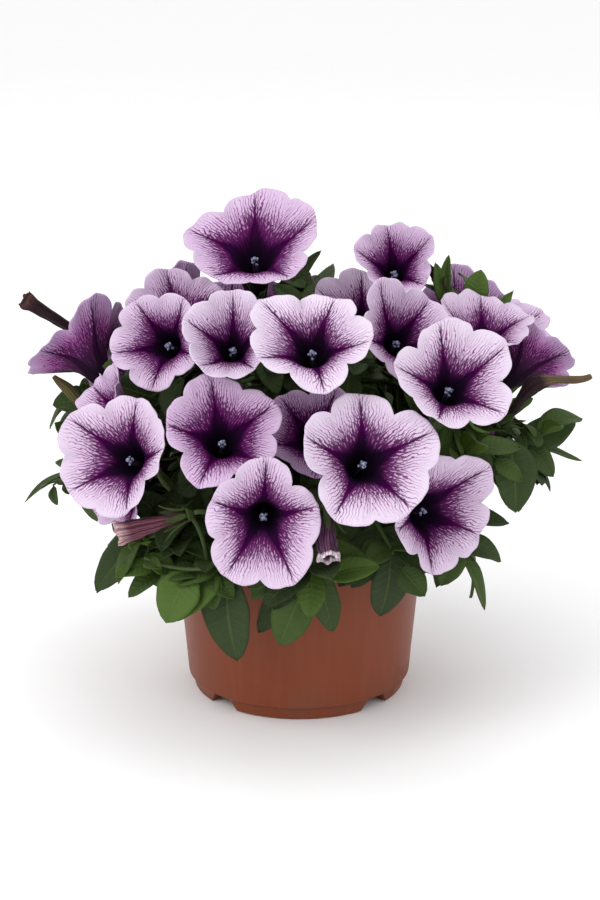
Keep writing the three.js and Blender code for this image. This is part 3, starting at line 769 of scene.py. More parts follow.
def makeBlooms():
    sheet = newGrid("corollaModel", corolla["columns"], corolla["rows"])
    stamens = makeStamens()
    for bloom in blooms:
        name = bloom["name"].replace("bloom", "flower")
        place = bloomFrame(bloom)
        flower = copyOf(sheet, name)
        setMaterials(flower, *flowerPaints)
        shapeSheet(flower, lambda u, v: place @ onCorolla(bloom, u, v))
        closeSeams(flower, direction(bloom["az"], bloom["el"]))
        applyModifier(flower, "SOLIDIFY", thickness=corolla["thickness"] * mm, offset=-1, material_offset=1)
        setValue(flower, "seed", between(bloom["key"] + 5, 0, 1))
        setValue(flower, "deep", bloom.get("deep", between(bloom["key"] + 6, 0.3, 0.7)))
        inner = copyOf(stamens, name + "_stamens")
        setValue(inner, "seed", 0)
        setValue(inner, "deep", 0)
        seat = Matrix.Translation((0, 0, -stamenShape["behind"])) @ Matrix.Rotation(bloom["key"], 4, "Z")
        inner.data.transform(Matrix.Scale(mm, 4) @ place @ seat @ Matrix.Scale(1 / mm, 4))
        flower = joinAll([flower, inner], name)
        smooth(flower)
        replace(flower, bloom["name"])
    bpy.data.objects.remove(sheet)
    bpy.data.objects.remove(stamens)


makeBlooms()
print("flowers made")


# Spent flowers and buds

buds = [
    {"name": "withered_left", "at": (-100, 36, 166), "az": -65, "el": 36, "length": 52, "bend": 0,
     "radii": (2, 2.1, 2.3, 2.5, 2.8, 3.2, 4.2), "look": "stick"},
    {"name": "withered_right", "at": (98, -24, 144), "az": 86, "el": 31, "length": 50, "bend": 9,
     "radii": (2, 2.1, 2.4, 2.8, 3.7, 4.9, 2.6, 1.7, 2.2, 2.0, 1.1), "look": "spent"},
    {"name": "withered_front", "at": (-52, -100, 122), "az": -78, "el": -14, "length": 34, "bend": 0,
     "radii": (2, 2.3, 2.9, 3.6, 4.4, 5.0, 4.2), "look": "striped"},
    {"name": "bud_front", "at": (12, -112, 128), "az": 5, "el": -52, "length": 24, "bend": 0,
     "radii": (2, 3.0, 3.7, 4.2, 4.6, 4.7, 4.1), "look": "opening"},
    {"name": "bud_left", "at": (-106, -4, 144), "az": -86, "el": 52, "length": 24, "bend": 1,
     "radii": (2, 2.8, 3.1, 3.0, 2.6, 2.0, 1), "look": "green"},
    {"name": "bud_top", "at": (72, 2, 203), "az": -75, "el": 56, "length": 18, "bend": 0,
     "radii": (1.8, 2.4, 2.6, 2.4, 2, 1.6, 0.9), "look": "stick"},
    {"name": "bud_back", "at": (48, 98, 158), "az": 160, "el": 50, "length": 24, "bend": 1,
     "radii": (2, 3, 3.4, 3.4, 2.8, 2.2, 1), "look": "green"},
]
budLooks = {  # base, middle, tip, stripes, how strong those are, and where the tip's colour starts and is full
    "stick": (colour(46, 40, 30), colour(44, 27, 31), colour(78, 48, 46), colour(18, 10, 15), 0.75, (0.80, 0.95)),
    "spent": (colour(40, 30, 28), colour(46, 27, 33), colour(108, 90, 66), colour(20, 9, 15), 0.85, (0.55, 0.62)),
    "striped": (colour(80, 54, 50), colour(112, 64, 78), colour(212, 176, 178), colour(38, 12, 28), 0.95, (0.72, 0.97)),
    "opening": (colour(46, 34, 38), colour(98, 62, 88), colour(232, 214, 222), colour(34, 8, 34), 0.92, (0.82, 0.88)),
    "green": (colour(66, 84, 34), colour(104, 98, 58), colour(96, 76, 46), colour(34, 30, 20), 0.8, (0.55, 0.9)),
}


def budPaint(look):
    foot, middle, tip, stripe, strength, tipAt = budLooks[look]
    paint = Paint(f"{look}Bud", roughness=0.7, specular=0.2)
    across, along = paint.uv()
    place = paint.position()
    wobble = paint.noise(place, 200, 3) - 0.5
    base = paint.blend(paint.ramp(along + wobble * 0.2, 0.08, 0.4), foot, middle)
    base = paint.blend(paint.ramp(along + wobble * 0.12, *tipAt), base, tip)
    ring = paint.math("ABSOLUTE", paint.math("SINE", across * 31.4 + wobble * 2.2 + along * 2))
    fine = paint.math("ABSOLUTE", paint.math("SINE", across * 69.1 + wobble * 4 + along * 5))
    lines = paint.math("MAXIMUM", 1 - paint.ramp(ring, 0.1, 0.5), (1 - paint.ramp(fine, 0.1, 0.6)) * 0.75)
    base = paint.blend(lines * strength * (1 - paint.ramp(along, *tipAt) * 0.5), base, stripe)
    if look == "opening":  # dark inside the lips
        base = paint.blend(paint.ramp(along, 0.945, 0.96), base, petalTones["star"])
    wrinkle = paint.noise(paint.point(across * 40, along * 7), 1, 4)
    return paint.finish(base, wrinkle - lines * 0.5, 0.0006, 0.8)


budShape = {
    "cap": 0.03,  # part of the sheet at each end that closes it
    "pleats": 0.13, "greenPleats": 0.06, "finePleats": 0.05, "wrinkle": 0.16, "sway": 0.06,
    "lipFrom": 0.86, "lipRise": 1.3, "dimple": 4.5,  # the folded lobes at the tip
}


def makeBuds():
    shape = budShape
    cap, lipFrom = shape["cap"], shape["lipFrom"]
    paints = {look: budPaint(look) for look in budLooks}
    sheet = newGrid("budModel", 40, 44)
    for number, bud in enumerate(buds):
        piece = copyOf(sheet, bud["name"].replace("bud", "closed_bud").replace("withered", "spent_flower"))
        place = frameAlong(Vector(bud["at"]), direction(bud["az"], bud["el"]))
        steps = len(bud["radii"]) - 1
        table = [(k / steps, radius) for k, radius in enumerate(bud["radii"])]
        dry = bud["look"] != "green"
        pleats = shape["pleats"] if dry else shape["greenPleats"]
        folded = bud["look"] in ("opening", "striped") or bud["name"] == "withered_left"

        def onBud(across, along):
            share = min(max((along - cap) / (1 - 2 * cap), 0), 1)
            sway = shape["sway"] * bud["length"] * share * (math.sin(4 * share + number) - math.sin(number))
            middle = Vector((sway, bud["bend"] * math.sin(math.pi * share) ** 2, share * bud["length"]))
            turn = 2 * math.pi * across
            soft = sum(alongTable(table, min(max(share + d, 0), 1)) for d in (-0.06, 0, 0.06)) / 3
            pleat = 1 + pleats * math.cos(5 * turn + 4 * share + number) * ease(share, 0.1, 0.6)
            pleat += shape["finePleats"] * math.cos(11 * turn - 6 * share) * ease(share, 0.2, 0.7)
            if dry:
                pleat += shape["wrinkle"] * noise.noise(ringPoint(turn, 1, share * 7 + number))
            soft *= min(along, 1 - along, cap) / cap
            if folded and share > lipFrom:  # lips of the folded lobes, round a dimple
                lip = math.sin(math.pi * (share - lipFrom) / (1 - lipFrom))
                lobe = math.cos(lobes * turn + number)
                middle.z += shape["lipRise"] * max(lobe, 0) * lip - shape["dimple"] * ease(share, 0.94, 1)
                soft *= 1 + (0.22 + 0.14 * lobe) * lip
            return place @ (middle + ringPoint(turn, soft * pleat))

        shapeSheet(piece, onBud)
        closeSeams(piece)
        smooth(piece)
        setMaterials(piece, paints[bud["look"]])
        replace(piece, bud["name"])
    bpy.data.objects.remove(sheet)


makeBuds()
print("buds made")


# Leafy shoots, with the stalks and calyces of the flowers that each carries

stemShape = {"radius": 1.7, "foot": 1.9, "steps": 7, "rootDepth": 10, "sides": 10, "bow": 36, "fineSteps": 27}
stalkShape = {"radius": 1.1, "steps": 3, "fineSteps": 12, "leads": (13, 7)}
calyxShape = {
    "length": 4, "footRadius": 1.1, "radius": 3.3, "sepalLength": 11, "sepalFrom": 2.9, "spread": 8.4,
    "sepalWidth": 3.0, "sepalThickness": 0.45,
}
leafStart = 0.7
leafThickness = 0.4
goldenAngle = 137.5  # degrees from each leaf to the next round a stem
tries = 24  # places that a leaf is looked for in, round its stem
clearOfMouth = {"behind": 4, "ahead": 32, "share": 0.8}  # small leaves stay out of this space before a flower
shootColumns = ("az", "ring", "tip", "rise", "leaves", "size")
shootTable = [
    (0, 20, (6, -94, 92), 46, 7, 42),
    (-26, 20, (-36, -86, 90), 44, 7, 40),
    (26, 20, (44, -84, 98), 46, 7, 40),
    (-56, 20, (-74, -62, 96), 46, 8, 36),
    (56, 20, (78, -56, 88), 48, 8, 36),
    (-92, 20, (-104, -6, 112), 52, 8, 34),
    (92, 20, (108, -10, 124), 56, 8, 36),
    (-136, 20, (-78, 66, 100), 50, 8, 40),
    (144, 20, (66, 82, 98), 48, 8, 40),
    (180, 20, (4, 94, 96), 48, 8, 42),
    (-80, 8, (-52, -6, 154), 56, 5, 32),
    (80, 8, (62, -6, 156), 56, 5, 32),
    (0, 8, (-2, -34, 180), 60, 5, 34),
    (180, 8, (-4, 36, 170), 56, 5, 34),
]
shoots = [dict(zip(shootColumns, row), name=f"shoot_{i + 1:02d}") for i, row in enumerate(shootTable)]

# Leaves that hang over the pot or stand out past the flowers: shoot, place along it, tip, width, freshness, whose low
# values also paint shade on leaves that lie in shadow.
outerLeaves = [
    (2, 0.96, (-29, -84, 44), 22, 0.08), (2, 0.98, (-60, -88, 66), 18, 1.0), (2, 0.9, (-66, -76, 74), 15, 0.1),
    (4, 0.96, (-97, -62, 70), 12, 0.1), (4, 0.98, (-84, -88, 84), 11, 0.5), (1, 0.98, (-9, -84, 52), 18, 0.5),
    (1, 0.94, (-20, -80, 56), 13, 0.1), (1, 0.98, (5, -106, 74), 13, 1.0), (1, 0.9, (34, -104, 98), 14, 0.8),
    (1, 0.95, (16, -82, 58), 13, 0.2), (3, 0.98, (38, -82, 66), 18, 0.0), (3, 0.95, (66, -88, 88), 12, 0.2),
    (5, 0.96, (90, -66, 62), 9, 0.45), (5, 0.92, (98, -46, 80), 13, 0.2), (7, 0.92, (106, -42, 104), 18, 0.3),
    (7, 0.96, (126, -14, 108), 12, 0.2), (7, 0.98, (141, -4, 118), 6, 0.4), (7, 0.98, (138, 0, 139), 16, 0.3),
    (6, 0.9, (-120, -14, 141), 12, 0.3), (6, 0.96, (-131, 0, 92), 8, 0.3), (13, 0.98, (10, 8, 216), 12, 0.25),
    (12, 0.98, (94, 12, 207), 11, 0.7),
]


def shootLine(shoot):
    root = direction(shoot["az"], 0) * shoot["ring"]
    root.z = soilHeight(root.x, root.y) + 2
    end = Vector(shoot["tip"])
    bow = end + Vector((-end.x, -end.y, 0)).normalized() * stemShape["bow"]
    bow.z += shoot["rise"] * 0.55
    rise = root + up * shoot["rise"]
    line = []
    for k in range(stemShape["steps"] + 1):
        t = k / stemShape["steps"]
        line.append(root * (1 - t) ** 3 + rise * 3 * t * (1 - t) ** 2 + bow * 3 * t * t * (1 - t) + end * t ** 3)
    return line


def onLine(line, share):
    steps = len(line) - 1
    k = min(math.floor(share * steps), steps - 1)
    return line[k].lerp(line[k + 1], share * steps - k), (line[k + 1] - line[k]).normalized()


def bendLine(first, bend, last, steps):
    return [first.lerp(bend, k / steps).lerp(bend.lerp(last, k / steps), k / steps) for k in range(steps + 1)]


def leafFacing(base):  # the upper side of a leaf faces outward and up
    return Vector((base.x, base.y, 0)).normalized() * 0.7 + up


def leafOnShoot(shoot, line, n, attempt):
    key = shoot["tip"][0] + n * 7.3
    base, run = onLine(line, 0.3 + 0.68 * (n + 1) / shoot["leaves"])
    side = run.cross(up).normalized()
    over = side.cross(run)
    turn = math.radians(goldenAngle * n + 47 * attempt + between(key, -15, 15))
    length = shoot["size"] * between(key + 2, 0.72, 1) * 0.9 ** (attempt // 4)
    along = run * between(key + 1, 0.35, 0.75) + side * math.cos(turn) + over * math.sin(turn) - up * 0.2
    return {"base": base, "tip": base + along.normalized() * length, "face": leafFacing(base),
            "width": length * between(key + 3, 0.46, 0.56), "arch": between(key + 4, 0.06, 0.16)}


def outerLeaf(leaf, line, attempt):
    _, place, tip, width, _ = leaf
    base, _ = onLine(line, place)
    swing = direction(goldenAngle * attempt, 20 * math.sin(attempt)) * 1.2 * attempt
    return {"base": base, "tip": Vector(tip) + swing, "face": Vector((base.x, base.y, 60)), "width": width, "arch": 0.1}


def pointsOf(node):  # search tree of a solid's corners, in millimetres
    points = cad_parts[node].data.vertices
    tree = kdtree.KDTree(len(points))
    for i, point in enumerate(points):
        tree.insert(point.co / mm, i)
    tree.balance()
    return tree


match = {"corner": 0.03, "ring": 0.04}  # how near a solid's corner has to be


def isIn(tree, point):
    return tree.find(point)[2] < match["corner"]


def ringCount(tree, centre, radius):
    found = tree.find_range(centre, radius + 0.05)
    return sum(abs(distance - radius) < match["ring"] for _, _, distance in found)


lines = [shootLine(shoot) for shoot in shoots]
trees = [pointsOf(shoot["name"]) for shoot in shoots]
flowers = [dict(bloom, behind=37) for bloom in blooms] + [dict(bud, behind=0) for bud in buds]


def holderOf(flower):  # the shoot that carries a flower, and the line of its stalk
    facing = direction(flower["az"], flower["el"])
    foot = Vector(flower["at"]) - facing * (flower["behind"] + 0.3 + calyxShape["length"])
    best, found = 4, None
    for number, line in enumerate(lines):
        for k in range(14):
            joint, _ = onLine(line, 0.35 + 0.048 * k)
            for lead in stalkShape["leads"]:
                bar = bendLine(joint, foot - facing * lead, foot, stalkShape["steps"])
                hits = sum(ringCount(trees[number], point, stalkShape["radius"]) for point in bar[1:3])
                if hits > best:
                    best, found = hits, (number, joint, foot - facing * lead, foot, facing)
    return found


def makeTube(sheet, name, line, radii):  # closed bar round a line, with a radius for each point
    piece = copyOf(sheet, name)
    frames, side = [], Vector((0.13, 0.99, 0.05))
    for k, point in enumerate(line):
        run = line[min(k + 1, len(line) - 1)] - line[max(k - 1, 0)]
        frames.append(frameAlong(point, run, side))
        side = frames[-1].col[1].xyz
    steps = len(line) - 1

    def onTube(across, along):
        place = along * (steps + 2) - 1
        k = min(max(round(place), 0), steps)
        radius = radii[k] if -0.5 < place < steps + 0.5 else 0
        return frames[k] @ ringPoint(2 * math.pi * across, radius)

    shapeSheet(piece, onTube)
    closeSeams(piece)
    return piece


def leafOutline(along):  # half of a leaf's width, as a share of its greatest width
    return 0.5 * max(math.sin(math.pi * along ** 0.76), 0) ** 0.62 * (1 - math.exp(-along / 0.11))


def placeLeaf(piece, leaf, key):
    along = leaf["tip"] - leaf["base"]
    length = along.length - leafStart
    place = frameAlong(leaf["base"] + along.normalized() * leafStart, along, leaf["face"])
    wave, twist = between(key + 6, 0.01, 0.035), between(key + 7, -0.12, 0.12)

    def onLeaf(across, share):
        x = 2 * across - 1
        half = max(leafOutline(share) * leaf["width"] * 1.12, 0.35 if share < 0.12 else 0)
        y = leaf["arch"] * length * math.sin(math.pi * share) + 0.22 * abs(x) * half
        y += wave * length * math.sin(7 * share + key) * x * x * ease(share, 0, 0.3)
        y += twist * half * x * share
        y -= 0.35 * math.exp(-((x / 0.14) ** 2)) * ease(share, 0.02, 0.3) * (1 - ease(share, 0.7, 1))
        return place @ Vector((x * half * (1 + 0.02 * math.sin(19 * share + key)), y, share * length))

    shapeSheet(piece, onLeaf)


# Leaf greens: the darkest is both the colour of old leaves and painted shade for leaves in shadow; the brightest is
# both the colour of young leaves and painted light on lit ones.
leafTones = {
    "dark": colour(20, 28, 15), "fresh": colour(90, 122, 38), "rib": colour(92, 112, 60), "edge": colour(40, 50, 26),
    "under": colour(56, 70, 42), "stem": colour(60, 78, 34), "stemWarm": colour(60, 56, 38),
}


def leafPaint(under):
    tones = leafTones
    paint = Paint("leafUnder" if under else "leafTop", roughness=0.5, specular=0.15)
    across, along = paint.uv()
    seed = paint.number("seed")
    fresh = paint.number("fresh")
    place = paint.position()
    wobble = paint.noise(place, 260, 2) - 0.5
    off = paint.math("ABSOLUTE", across * 2 - 1)
    rib = 1 - paint.ramp(off, 0.02, 0.10)
    chevron = (along - off * 0.16 + off * off * 0.05 + wobble * 0.035) * 9 + seed * 3
    wave = paint.math("ABSOLUTE", paint.math("SINE", chevron * math.pi))
    vein = 1 - paint.ramp(wave, 0.03, 0.24)
    vein = vein * paint.ramp(off, 0.02, 0.15) * (1 - paint.ramp(off, 0.75, 1))
    net = 1 - paint.ramp(paint.cellEdge(paint.point(across * 13 + seed * 9, along * 20 + wobble), 1), 0.02, 0.16)
    mottle = paint.noise(place, 120, 4)
    # painted light and shade: each leaf's freshness value, set low for leaves in shadow, picks between the dark and the
    # bright green
    base = paint.blend(fresh, tones["dark"], tones["fresh"])
    base = paint.blend(paint.ramp(mottle, 0.35, 0.75) * (0.05 + fresh * 0.25), base, tones["fresh"])
    if under:
        base = paint.blend(0.55, base, tones["under"])
    base = paint.blend(net * 0.06, base, tones["rib"])
    base = paint.blend(vein * 0.08, base, tones["rib"])
    base = paint.blend(rib * 0.3, base, tones["rib"])
    base = paint.blend(paint.ramp(off, 0.9, 1.0) * 0.3, base, tones["edge"])
    sign = 1.0 if under else -1.0  # ribs are hollows above and ridges below
    valley = 1 - paint.ramp(wave, 0.0, 0.85)
    bump = valley * (0.4 * sign) + rib * (0.9 * sign) + net * (0.2 * sign) + paint.noise(place, 900, 3) * 0.35
    return paint.finish(base, bump, 0.0006, 0.6, 0.44 + mottle * 0.2)


def stemPaint():
    tones = leafTones
    paint = Paint("stem", roughness=0.6, specular=0.3)
    place = paint.position()
    cloud = paint.noise(place, 90, 4)
    down = paint.noise(place, 2600, 2)
    base = paint.blend(paint.ramp(cloud, 0.45, 0.75), tones["stem"], tones["stemWarm"])
    base = paint.blend(paint.ramp(down, 0.55, 0.75) * 0.35, base, tones["rib"])
    return paint.finish(base, down, 0.0003, 0.7)


def makeCalyx(models, foot, facing, key):
    shape = calyxShape
    place = frameAlong(foot + facing * shape["length"], facing)
    cup = copyOf(models["cup"], "cup")

    def onCup(across, along):
        turn = 2 * math.pi * across
        if along < 0.01:
            radius, z = 0, -shape["length"]
        elif along > 0.99:
            radius, z = 0, -0.4
        else:
            radius = shape["footRadius"] + (shape["radius"] - shape["footRadius"]) * ease(along, 0, 0.85)
            z = shape["length"] * (along - 1)
        return place @ ringPoint(turn, radius * (1 + 0.07 * math.cos(lobes * turn)), z)

    shapeSheet(cup, onCup)
    closeSeams(cup)
    sepals = []
    for i in range(lobes):
        turn = 2 * math.pi * i / lobes
        length = shape["sepalLength"] * between(key + 2 * i, 0.85, 1.15)
        wide = shape["sepalWidth"] * between(key + 31 + i, 0.8, 1.15)
        outward = ringPoint(turn, 1)
        side = ringPoint(turn + math.pi / 2, 1)
        sepal = copyOf(models["sepal"], "sepal")

        def onSepal(across, along):
            x = 2 * across - 1
            opened = 0.55 * along + 0.45 * along ** 2.4
            reach = shape["sepalFrom"] + (shape["spread"] - shape["sepalFrom"]) * opened
            half = wide * 0.5 * max(math.sin(math.pi * (0.16 + 0.84 * along)), 0) ** 0.7
            return place @ (outward * (reach - 0.25 * x * x * half) + side * (x * half) + up * (length * along - 0.6))

        shapeSheet(sepal, onSepal)
        sepals.append(sepal)
    blade = joinAll(sepals, "sepals")
    applyModifier(blade, "SOLIDIFY", thickness=shape["sepalThickness"] * mm, offset=0)
    return [cup, blade]


def obstacleTree(names):
    points, faces = [], []
    for name in names:
        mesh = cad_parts[name].data
        start = len(points)
        points += [point.co / mm for point in mesh.vertices]
        faces += [[start + corner for corner in face.vertices] for face in mesh.polygons]
    return BVHTree.FromPolygons(points, faces)


fillLeaves = {"perShoot": 40, "small": 0.45, "large": 0.85}

# Small side shoots: shoot and place that each grows from, its tip, how many leaves, their size and freshness, whose low
# values also paint shade where a sprig lies in shadow.
sprigs = [
    (6, 0.75, (-112, 4, 147), 6, 21, 0.35), (11, 0.7, (-82, 6, 160), 6, 26, 0.15),
    (6, 0.95, (-123, -6, 106), 6, 14, 0.4), (4, 0.9, (-72, -82, 93), 5, 19, 0.95),
    (7, 0.75, (120, -16, 135), 7, 25, 0.5), (5, 0.7, (82, -54, 138), 7, 26, 0.6),
    (2, 0.8, (-54, -68, 110), 6, 26, 0.15), (12, 0.98, (84, 4, 204), 5, 17, 0.8),
    (13, 0.98, (4, -8, 207), 4, 24, 0.3), (7, 0.6, (96, -36, 128), 6, 28, 0.4),
    (11, 0.55, (-76, -22, 148), 6, 28, 0.1), (12, 0.55, (70, -30, 152), 6, 28, 0.2),
    (3, 0.8, (60, -74, 118), 5, 26, 0.2), (1, 0.8, (12, -80, 118), 5, 26, 0.2),
    (4, 0.75, (-86, -40, 112), 6, 26, 0.2), (4, 0.6, (-66, -46, 108), 8, 30, 0.3),
    (4, 0.5, (-52, -52, 122), 8, 30, 0.1), (7, 0.5, (84, -34, 138), 9, 30, 0.6),
    (12, 0.5, (78, -18, 150), 8, 28, 0.4), (11, 0.8, (-60, -30, 168), 7, 26, 0.2),
    (11, 0.95, (-70, 4, 176), 7, 26, 0.3), (13, 0.7, (-26, -44, 176), 7, 26, 0.2),
    (13, 0.8, (26, -40, 178), 7, 26, 0.2), (3, 0.6, (56, -50, 132), 8, 28, 0.3),
    (6, 0.6, (-72, -26, 106), 9, 30, 0.1), (6, 0.7, (-84, -22, 148), 8, 28, 0.2),
    (11, 0.6, (-66, -10, 158), 8, 28, 0.15), (13, 0.6, (30, -20, 165), 8, 26, 0.2),
    (13, 0.55, (-14, -40, 166), 8, 26, 0.1), (3, 0.5, (40, -48, 146), 8, 28, 0.15),
    (5, 0.8, (97, -52, 125), 6, 10, 1.0), (2, 0.7, (-54, -72, 96), 8, 28, 0.1), (4, 0.8, (-58, -62, 92), 8, 26, 0.15),
    (2, 0.9, (-44, -84, 88), 6, 22, 0.5), (8, 0.7, (-96, 44, 116), 7, 28, 0.4), (9, 0.7, (92, 60, 116), 7, 28, 0.4),
    (10, 0.7, (34, 96, 118), 7, 28, 0.5), (10, 0.6, (-20, 88, 130), 6, 28, 0.3), (14, 0.9, (20, 50, 176), 6, 26, 0.3),
    (14, 0.7, (-40, 44, 170), 6, 26, 0.3),
]


# Leaves set one by one: shoot, base, tip, the way the upper side faces, width, freshness, whose low values also paint
# shade on leaves in shadow.
frontLeaves = [
    (4, (-62, -50, 103), (-81, -55, 119), (0, -1, 0.3), 14, 0.05),
    (11, (-62, -14, 150), (-93, -24, 164), (0, -1, 0.4), 18, 0.05),
    (7, (100, -42, 143), (104, -51, 107), (0.3, -1, 0.3), 20, 0.15),
    (5, (92, -50, 134), (106, -56, 124), (0.3, -1, 0.5), 9, 0.6),
    (4, (-72, -60, 102), (-97, -67, 73), (-0.2, -1, 0.4), 15, 0.1),
    (2, (-50, -86, 92), (-62, -94, 67), (-0.1, -1, 0.5), 19, 1.0),
    (4, (-66, -75, 90), (-86, -85, 86), (0, -0.6, 1), 11, 0.9),
    (4, (-64, -72, 88), (-80, -84, 76), (0, -0.8, 0.8), 9, 0.5),
    (1, (12, -104, 93), (37, -108, 100), (0, -0.7, 1), 13, 1.0),
    (13, (-8, 0, 200), (11, 6, 223), (-0.4, -1, 0.4), 6, 0.2),
    (13, (-6, -6, 196), (4, 0, 215), (-0.2, -1, 0.4), 15, 0.1),
    (12, (70, 0, 197), (66, -3, 219), (0.4, -1, 0.1), 7, 0.8),
    (12, (71, 0, 197), (73, 0, 222), (-0.4, -1, 0.1), 6, 0.9),
    (12, (84, 4, 196), (89, 3, 214), (0.2, -1, 0.5), 12, 1.0),
    (6, (-101, 0, 150), (-122, -4, 147), (-0.2, -1, 0.6), 13, 0.15),
    (6, (-98, -4, 150), (-92, -10, 172), (-0.5, -1, 0.2), 8, 0.4),
    (7, (112, -22, 132), (124, -30, 118), (0.3, -1, 0.5), 10, 0.3),
    (3, (46, -96, 96), (58, -104, 84), (0.1, -1, 0.6), 12, 0.3),
]
bareStems = [  # shoot, start, bend, end, radius
    (2, (-54, -93, 123), (-44, -98, 119), (-42, -92, 94), 1.1),
    (4, (-72, -84, 96), (-58, -91, 91), (-42, -93, 94), 1.0),
    (2, (-60, -80, 128), (-70, -86, 140), (-62, -78, 150), 1.1),
    (7, (78, -48, 150), (92, -46, 140), (70, -50, 118), 1.1),
]


def leafTriangles(leaf):  # a rough leaf for the clearance test
    along = leaf["tip"] - leaf["base"]
    place = frameAlong(leaf["base"] + along * 0.12, along, leaf["face"])
    length, half = along.length * 0.88, leaf["width"] * 0.5
    widest = (leaf["arch"] * along.length, length * 0.4)
    corners = [(0, 0, 0), (-half, *widest), (half, *widest), (0, 0, length)]
    return BVHTree.FromPolygons([place @ Vector(p) for p in corners], [[0, 1, 2], [1, 3, 2]], epsilon=0.4)


def coversFlower(point):
    for bloom in blooms:
        offset = point - Vector(bloom["at"])
        facing = direction(bloom["az"], bloom["el"])
        ahead = offset.dot(facing)
        aside = (offset - facing * ahead).length
        near = -clearOfMouth["behind"] < ahead < clearOfMouth["ahead"]
        if near and aside < clearOfMouth["share"] * bloom["width"] / 2:
            return True
    return False


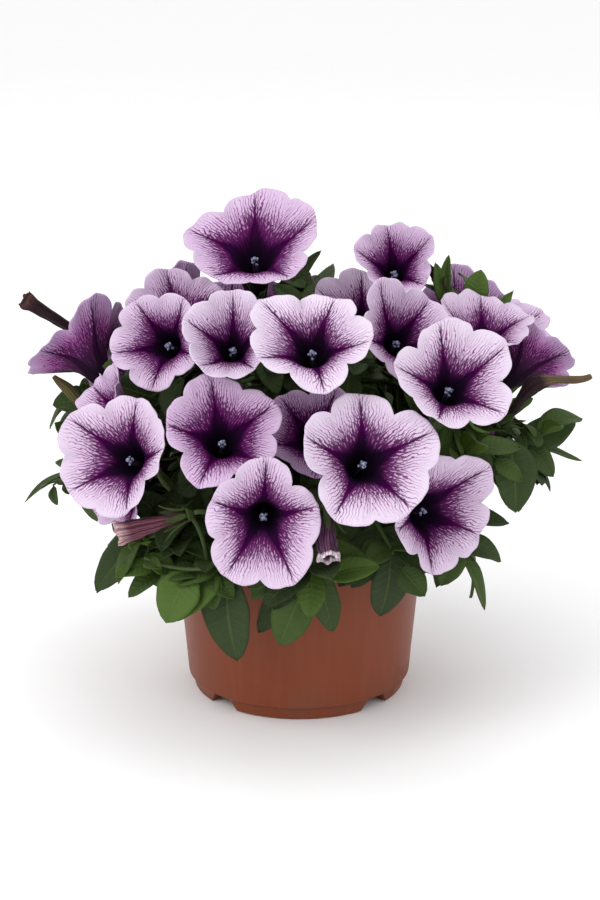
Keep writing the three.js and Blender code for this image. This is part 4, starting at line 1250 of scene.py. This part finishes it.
def makeShoots():
    leafModel = newGrid("leafModel", 8, 14)
    tubeModel = newGrid("tubeModel", stemShape["sides"], 30)
    stalkModel = newGrid("stalkModel", 8, stalkShape["fineSteps"] + 2)
    models = {"cup": newGrid("cupModel", 15, 7), "sepal": newGrid("sepalModel", 4, 7)}
    paints = [leafPaint(False), leafPaint(True), stemPaint()]
    obstacles = obstacleTree([f["name"] for f in flowers] + ["pot"])
    parts = [{"leaves": [], "stems": []} for _ in shoots]
    counts = [0, 0, 0]

    def addLeaf(number, leaf, key, fresh, model):
        piece = copyOf(model, "leaf")
        placeLeaf(piece, leaf, key)
        setValue(piece, "seed", between(key + 8, 0, 1))
        # the freshness value sets both the leaf's age colour and its painted shade
        setValue(piece, "fresh", fresh)
        parts[number]["leaves"].append(piece)

    def addFreeLeaf(number, base, run, size, key, fresh):
        for attempt in range(8):
            turn = between(key + attempt, 0, drawnTurn)
            side = run.cross(up).normalized()
            along = run * between(key + 11, 0.2, 1.1) + side * math.cos(turn) + side.cross(run) * math.sin(turn)
            leaf = {"base": base, "tip": base + along.normalized() * size, "face": leafFacing(base),
                    "width": size * between(key + 13, 0.46, 0.6), "arch": between(key + 14, 0.05, 0.15)}
            hidden = coversFlower(leaf["tip"]) or coversFlower(base.lerp(leaf["tip"], 0.5))
            if leaf["tip"].z > 60 and not hidden and not leafTriangles(leaf).overlap(obstacles):
                addLeaf(number, leaf, key, fresh, leafModel)
                counts[2] += 1
                return

    for order, leaf in enumerate(outerLeaves):
        number = leaf[0] - 1
        for attempt in range(tries):
            shape = outerLeaf(leaf, lines[number], attempt)
            if isIn(trees[number], shape["tip"]):
                addLeaf(number, shape, order * 3.1, leaf[4], leafModel)
                counts[0] += 1
                break
    for number, shoot in enumerate(shoots):
        for n in range(shoot["leaves"]):
            for attempt in range(tries):
                shape = leafOnShoot(shoot, lines[number], n, attempt)
                if isIn(trees[number], shape["tip"]):
                    addLeaf(number, shape, number * 41 + n * 1.7, between(number * 7 + n, 0.05, 0.6), leafModel)
                    counts[1] += 1
                    break
        for n in range(fillLeaves["perShoot"]):  # small leaves in the gaps, clear of the flowers and the pot
            key = number * 97 + n * 3.3 + 500
            base, run = onLine(lines[number], between(key, 0.3, 0.98))
            size = shoot["size"] * between(key + 12, fillLeaves["small"], fillLeaves["large"])
            addFreeLeaf(number, base, run, size, key, between(key + 15, 0.0, 0.6))
        line, last = lines[number], stemShape["fineSteps"]
        foot = line[0] - up * (2 + stemShape["rootDepth"] - 0.3)
        fine = [foot] + [onLine(line, k / last)[0] for k in range(last + 1)]
        softened = [(fine[k - 1] + fine[k] * 2 + fine[k + 1]) / 4 for k in range(2, last + 1)]
        radii = [stemShape["foot"]] + [stemShape["radius"] * (1.1 - 0.45 * k / last) for k in range(last + 1)]
        parts[number]["stems"].append(makeTube(tubeModel, "stem", fine[:2] + softened + fine[-1:], radii))

    for order, (carrier, place, tip, count, size, fresh) in enumerate(sprigs):
        number = carrier - 1
        base, run = onLine(lines[number], place)
        tip = Vector(tip)
        line = bendLine(base, base.lerp(tip, 0.5) + up * (tip - base).length * 0.2, tip, 10)
        parts[number]["stems"].append(makeTube(stalkModel, "sprig", line, [1.0 - 0.05 * k for k in range(11)]))
        for n in range(count):
            at, run = onLine(line, 0.35 + 0.63 * (n + 1) / count)
            key = order * 31 + n * 2.9 + 4000
            addFreeLeaf(number, at, run, size * between(key + 20, 0.7, 1.1), key, fresh * between(key + 21, 0.6, 1.2))

    for order, (carrier, base, tip, face, width, fresh) in enumerate(frontLeaves):
        leaf = {"base": Vector(base), "tip": Vector(tip), "face": Vector(face), "width": width, "arch": 0.08}
        addLeaf(carrier - 1, leaf, order * 2.3 + 7000, fresh, leafModel)
    last = stalkShape["fineSteps"]
    for carrier, start, bend, end, radius in bareStems:
        line = bendLine(Vector(start), Vector(bend), Vector(end), last)
        parts[carrier - 1]["stems"].append(makeTube(stalkModel, "stem", line, [radius] * (last + 1)))

    missing = []
    for order, flower in enumerate(flowers):
        found = holderOf(flower)
        if not found:
            missing.append(flower["name"])
            continue
        number, joint, bend, foot, facing = found
        stalk = bendLine(joint, bend, foot, last)
        radii = [stalkShape["radius"] * (1.15 - 0.25 * math.sin(math.pi * k / last)) for k in range(last + 1)]
        parts[number]["stems"].append(makeTube(stalkModel, "stalk", stalk, radii))
        parts[number]["stems"] += makeCalyx(models, foot, facing, 50 * order)
    print("leaves", counts, "flowers without a stalk", missing)

    for number, shoot in enumerate(shoots):
        leaves = joinAll(parts[number]["leaves"], "leaves")
        setMaterials(leaves, *paints)
        applyModifier(leaves, "SOLIDIFY", thickness=leafThickness * mm, offset=-1, material_offset=1)
        stems = joinAll(parts[number]["stems"], "stems")
        setMaterials(stems, *paints)
        useSlot(stems, 2)
        setValue(stems, "seed", 0.5)
        setValue(stems, "fresh", 0.5)
        whole = joinAll([leaves, stems], f"leafy_shoot_{number + 1:02d}")
        smooth(whole)
        replace(whole, shoot["name"])
    for model in (leafModel, tubeModel, stalkModel, *models.values()):
        bpy.data.objects.remove(model)


makeShoots()
print("shoots made")

deselectAll()
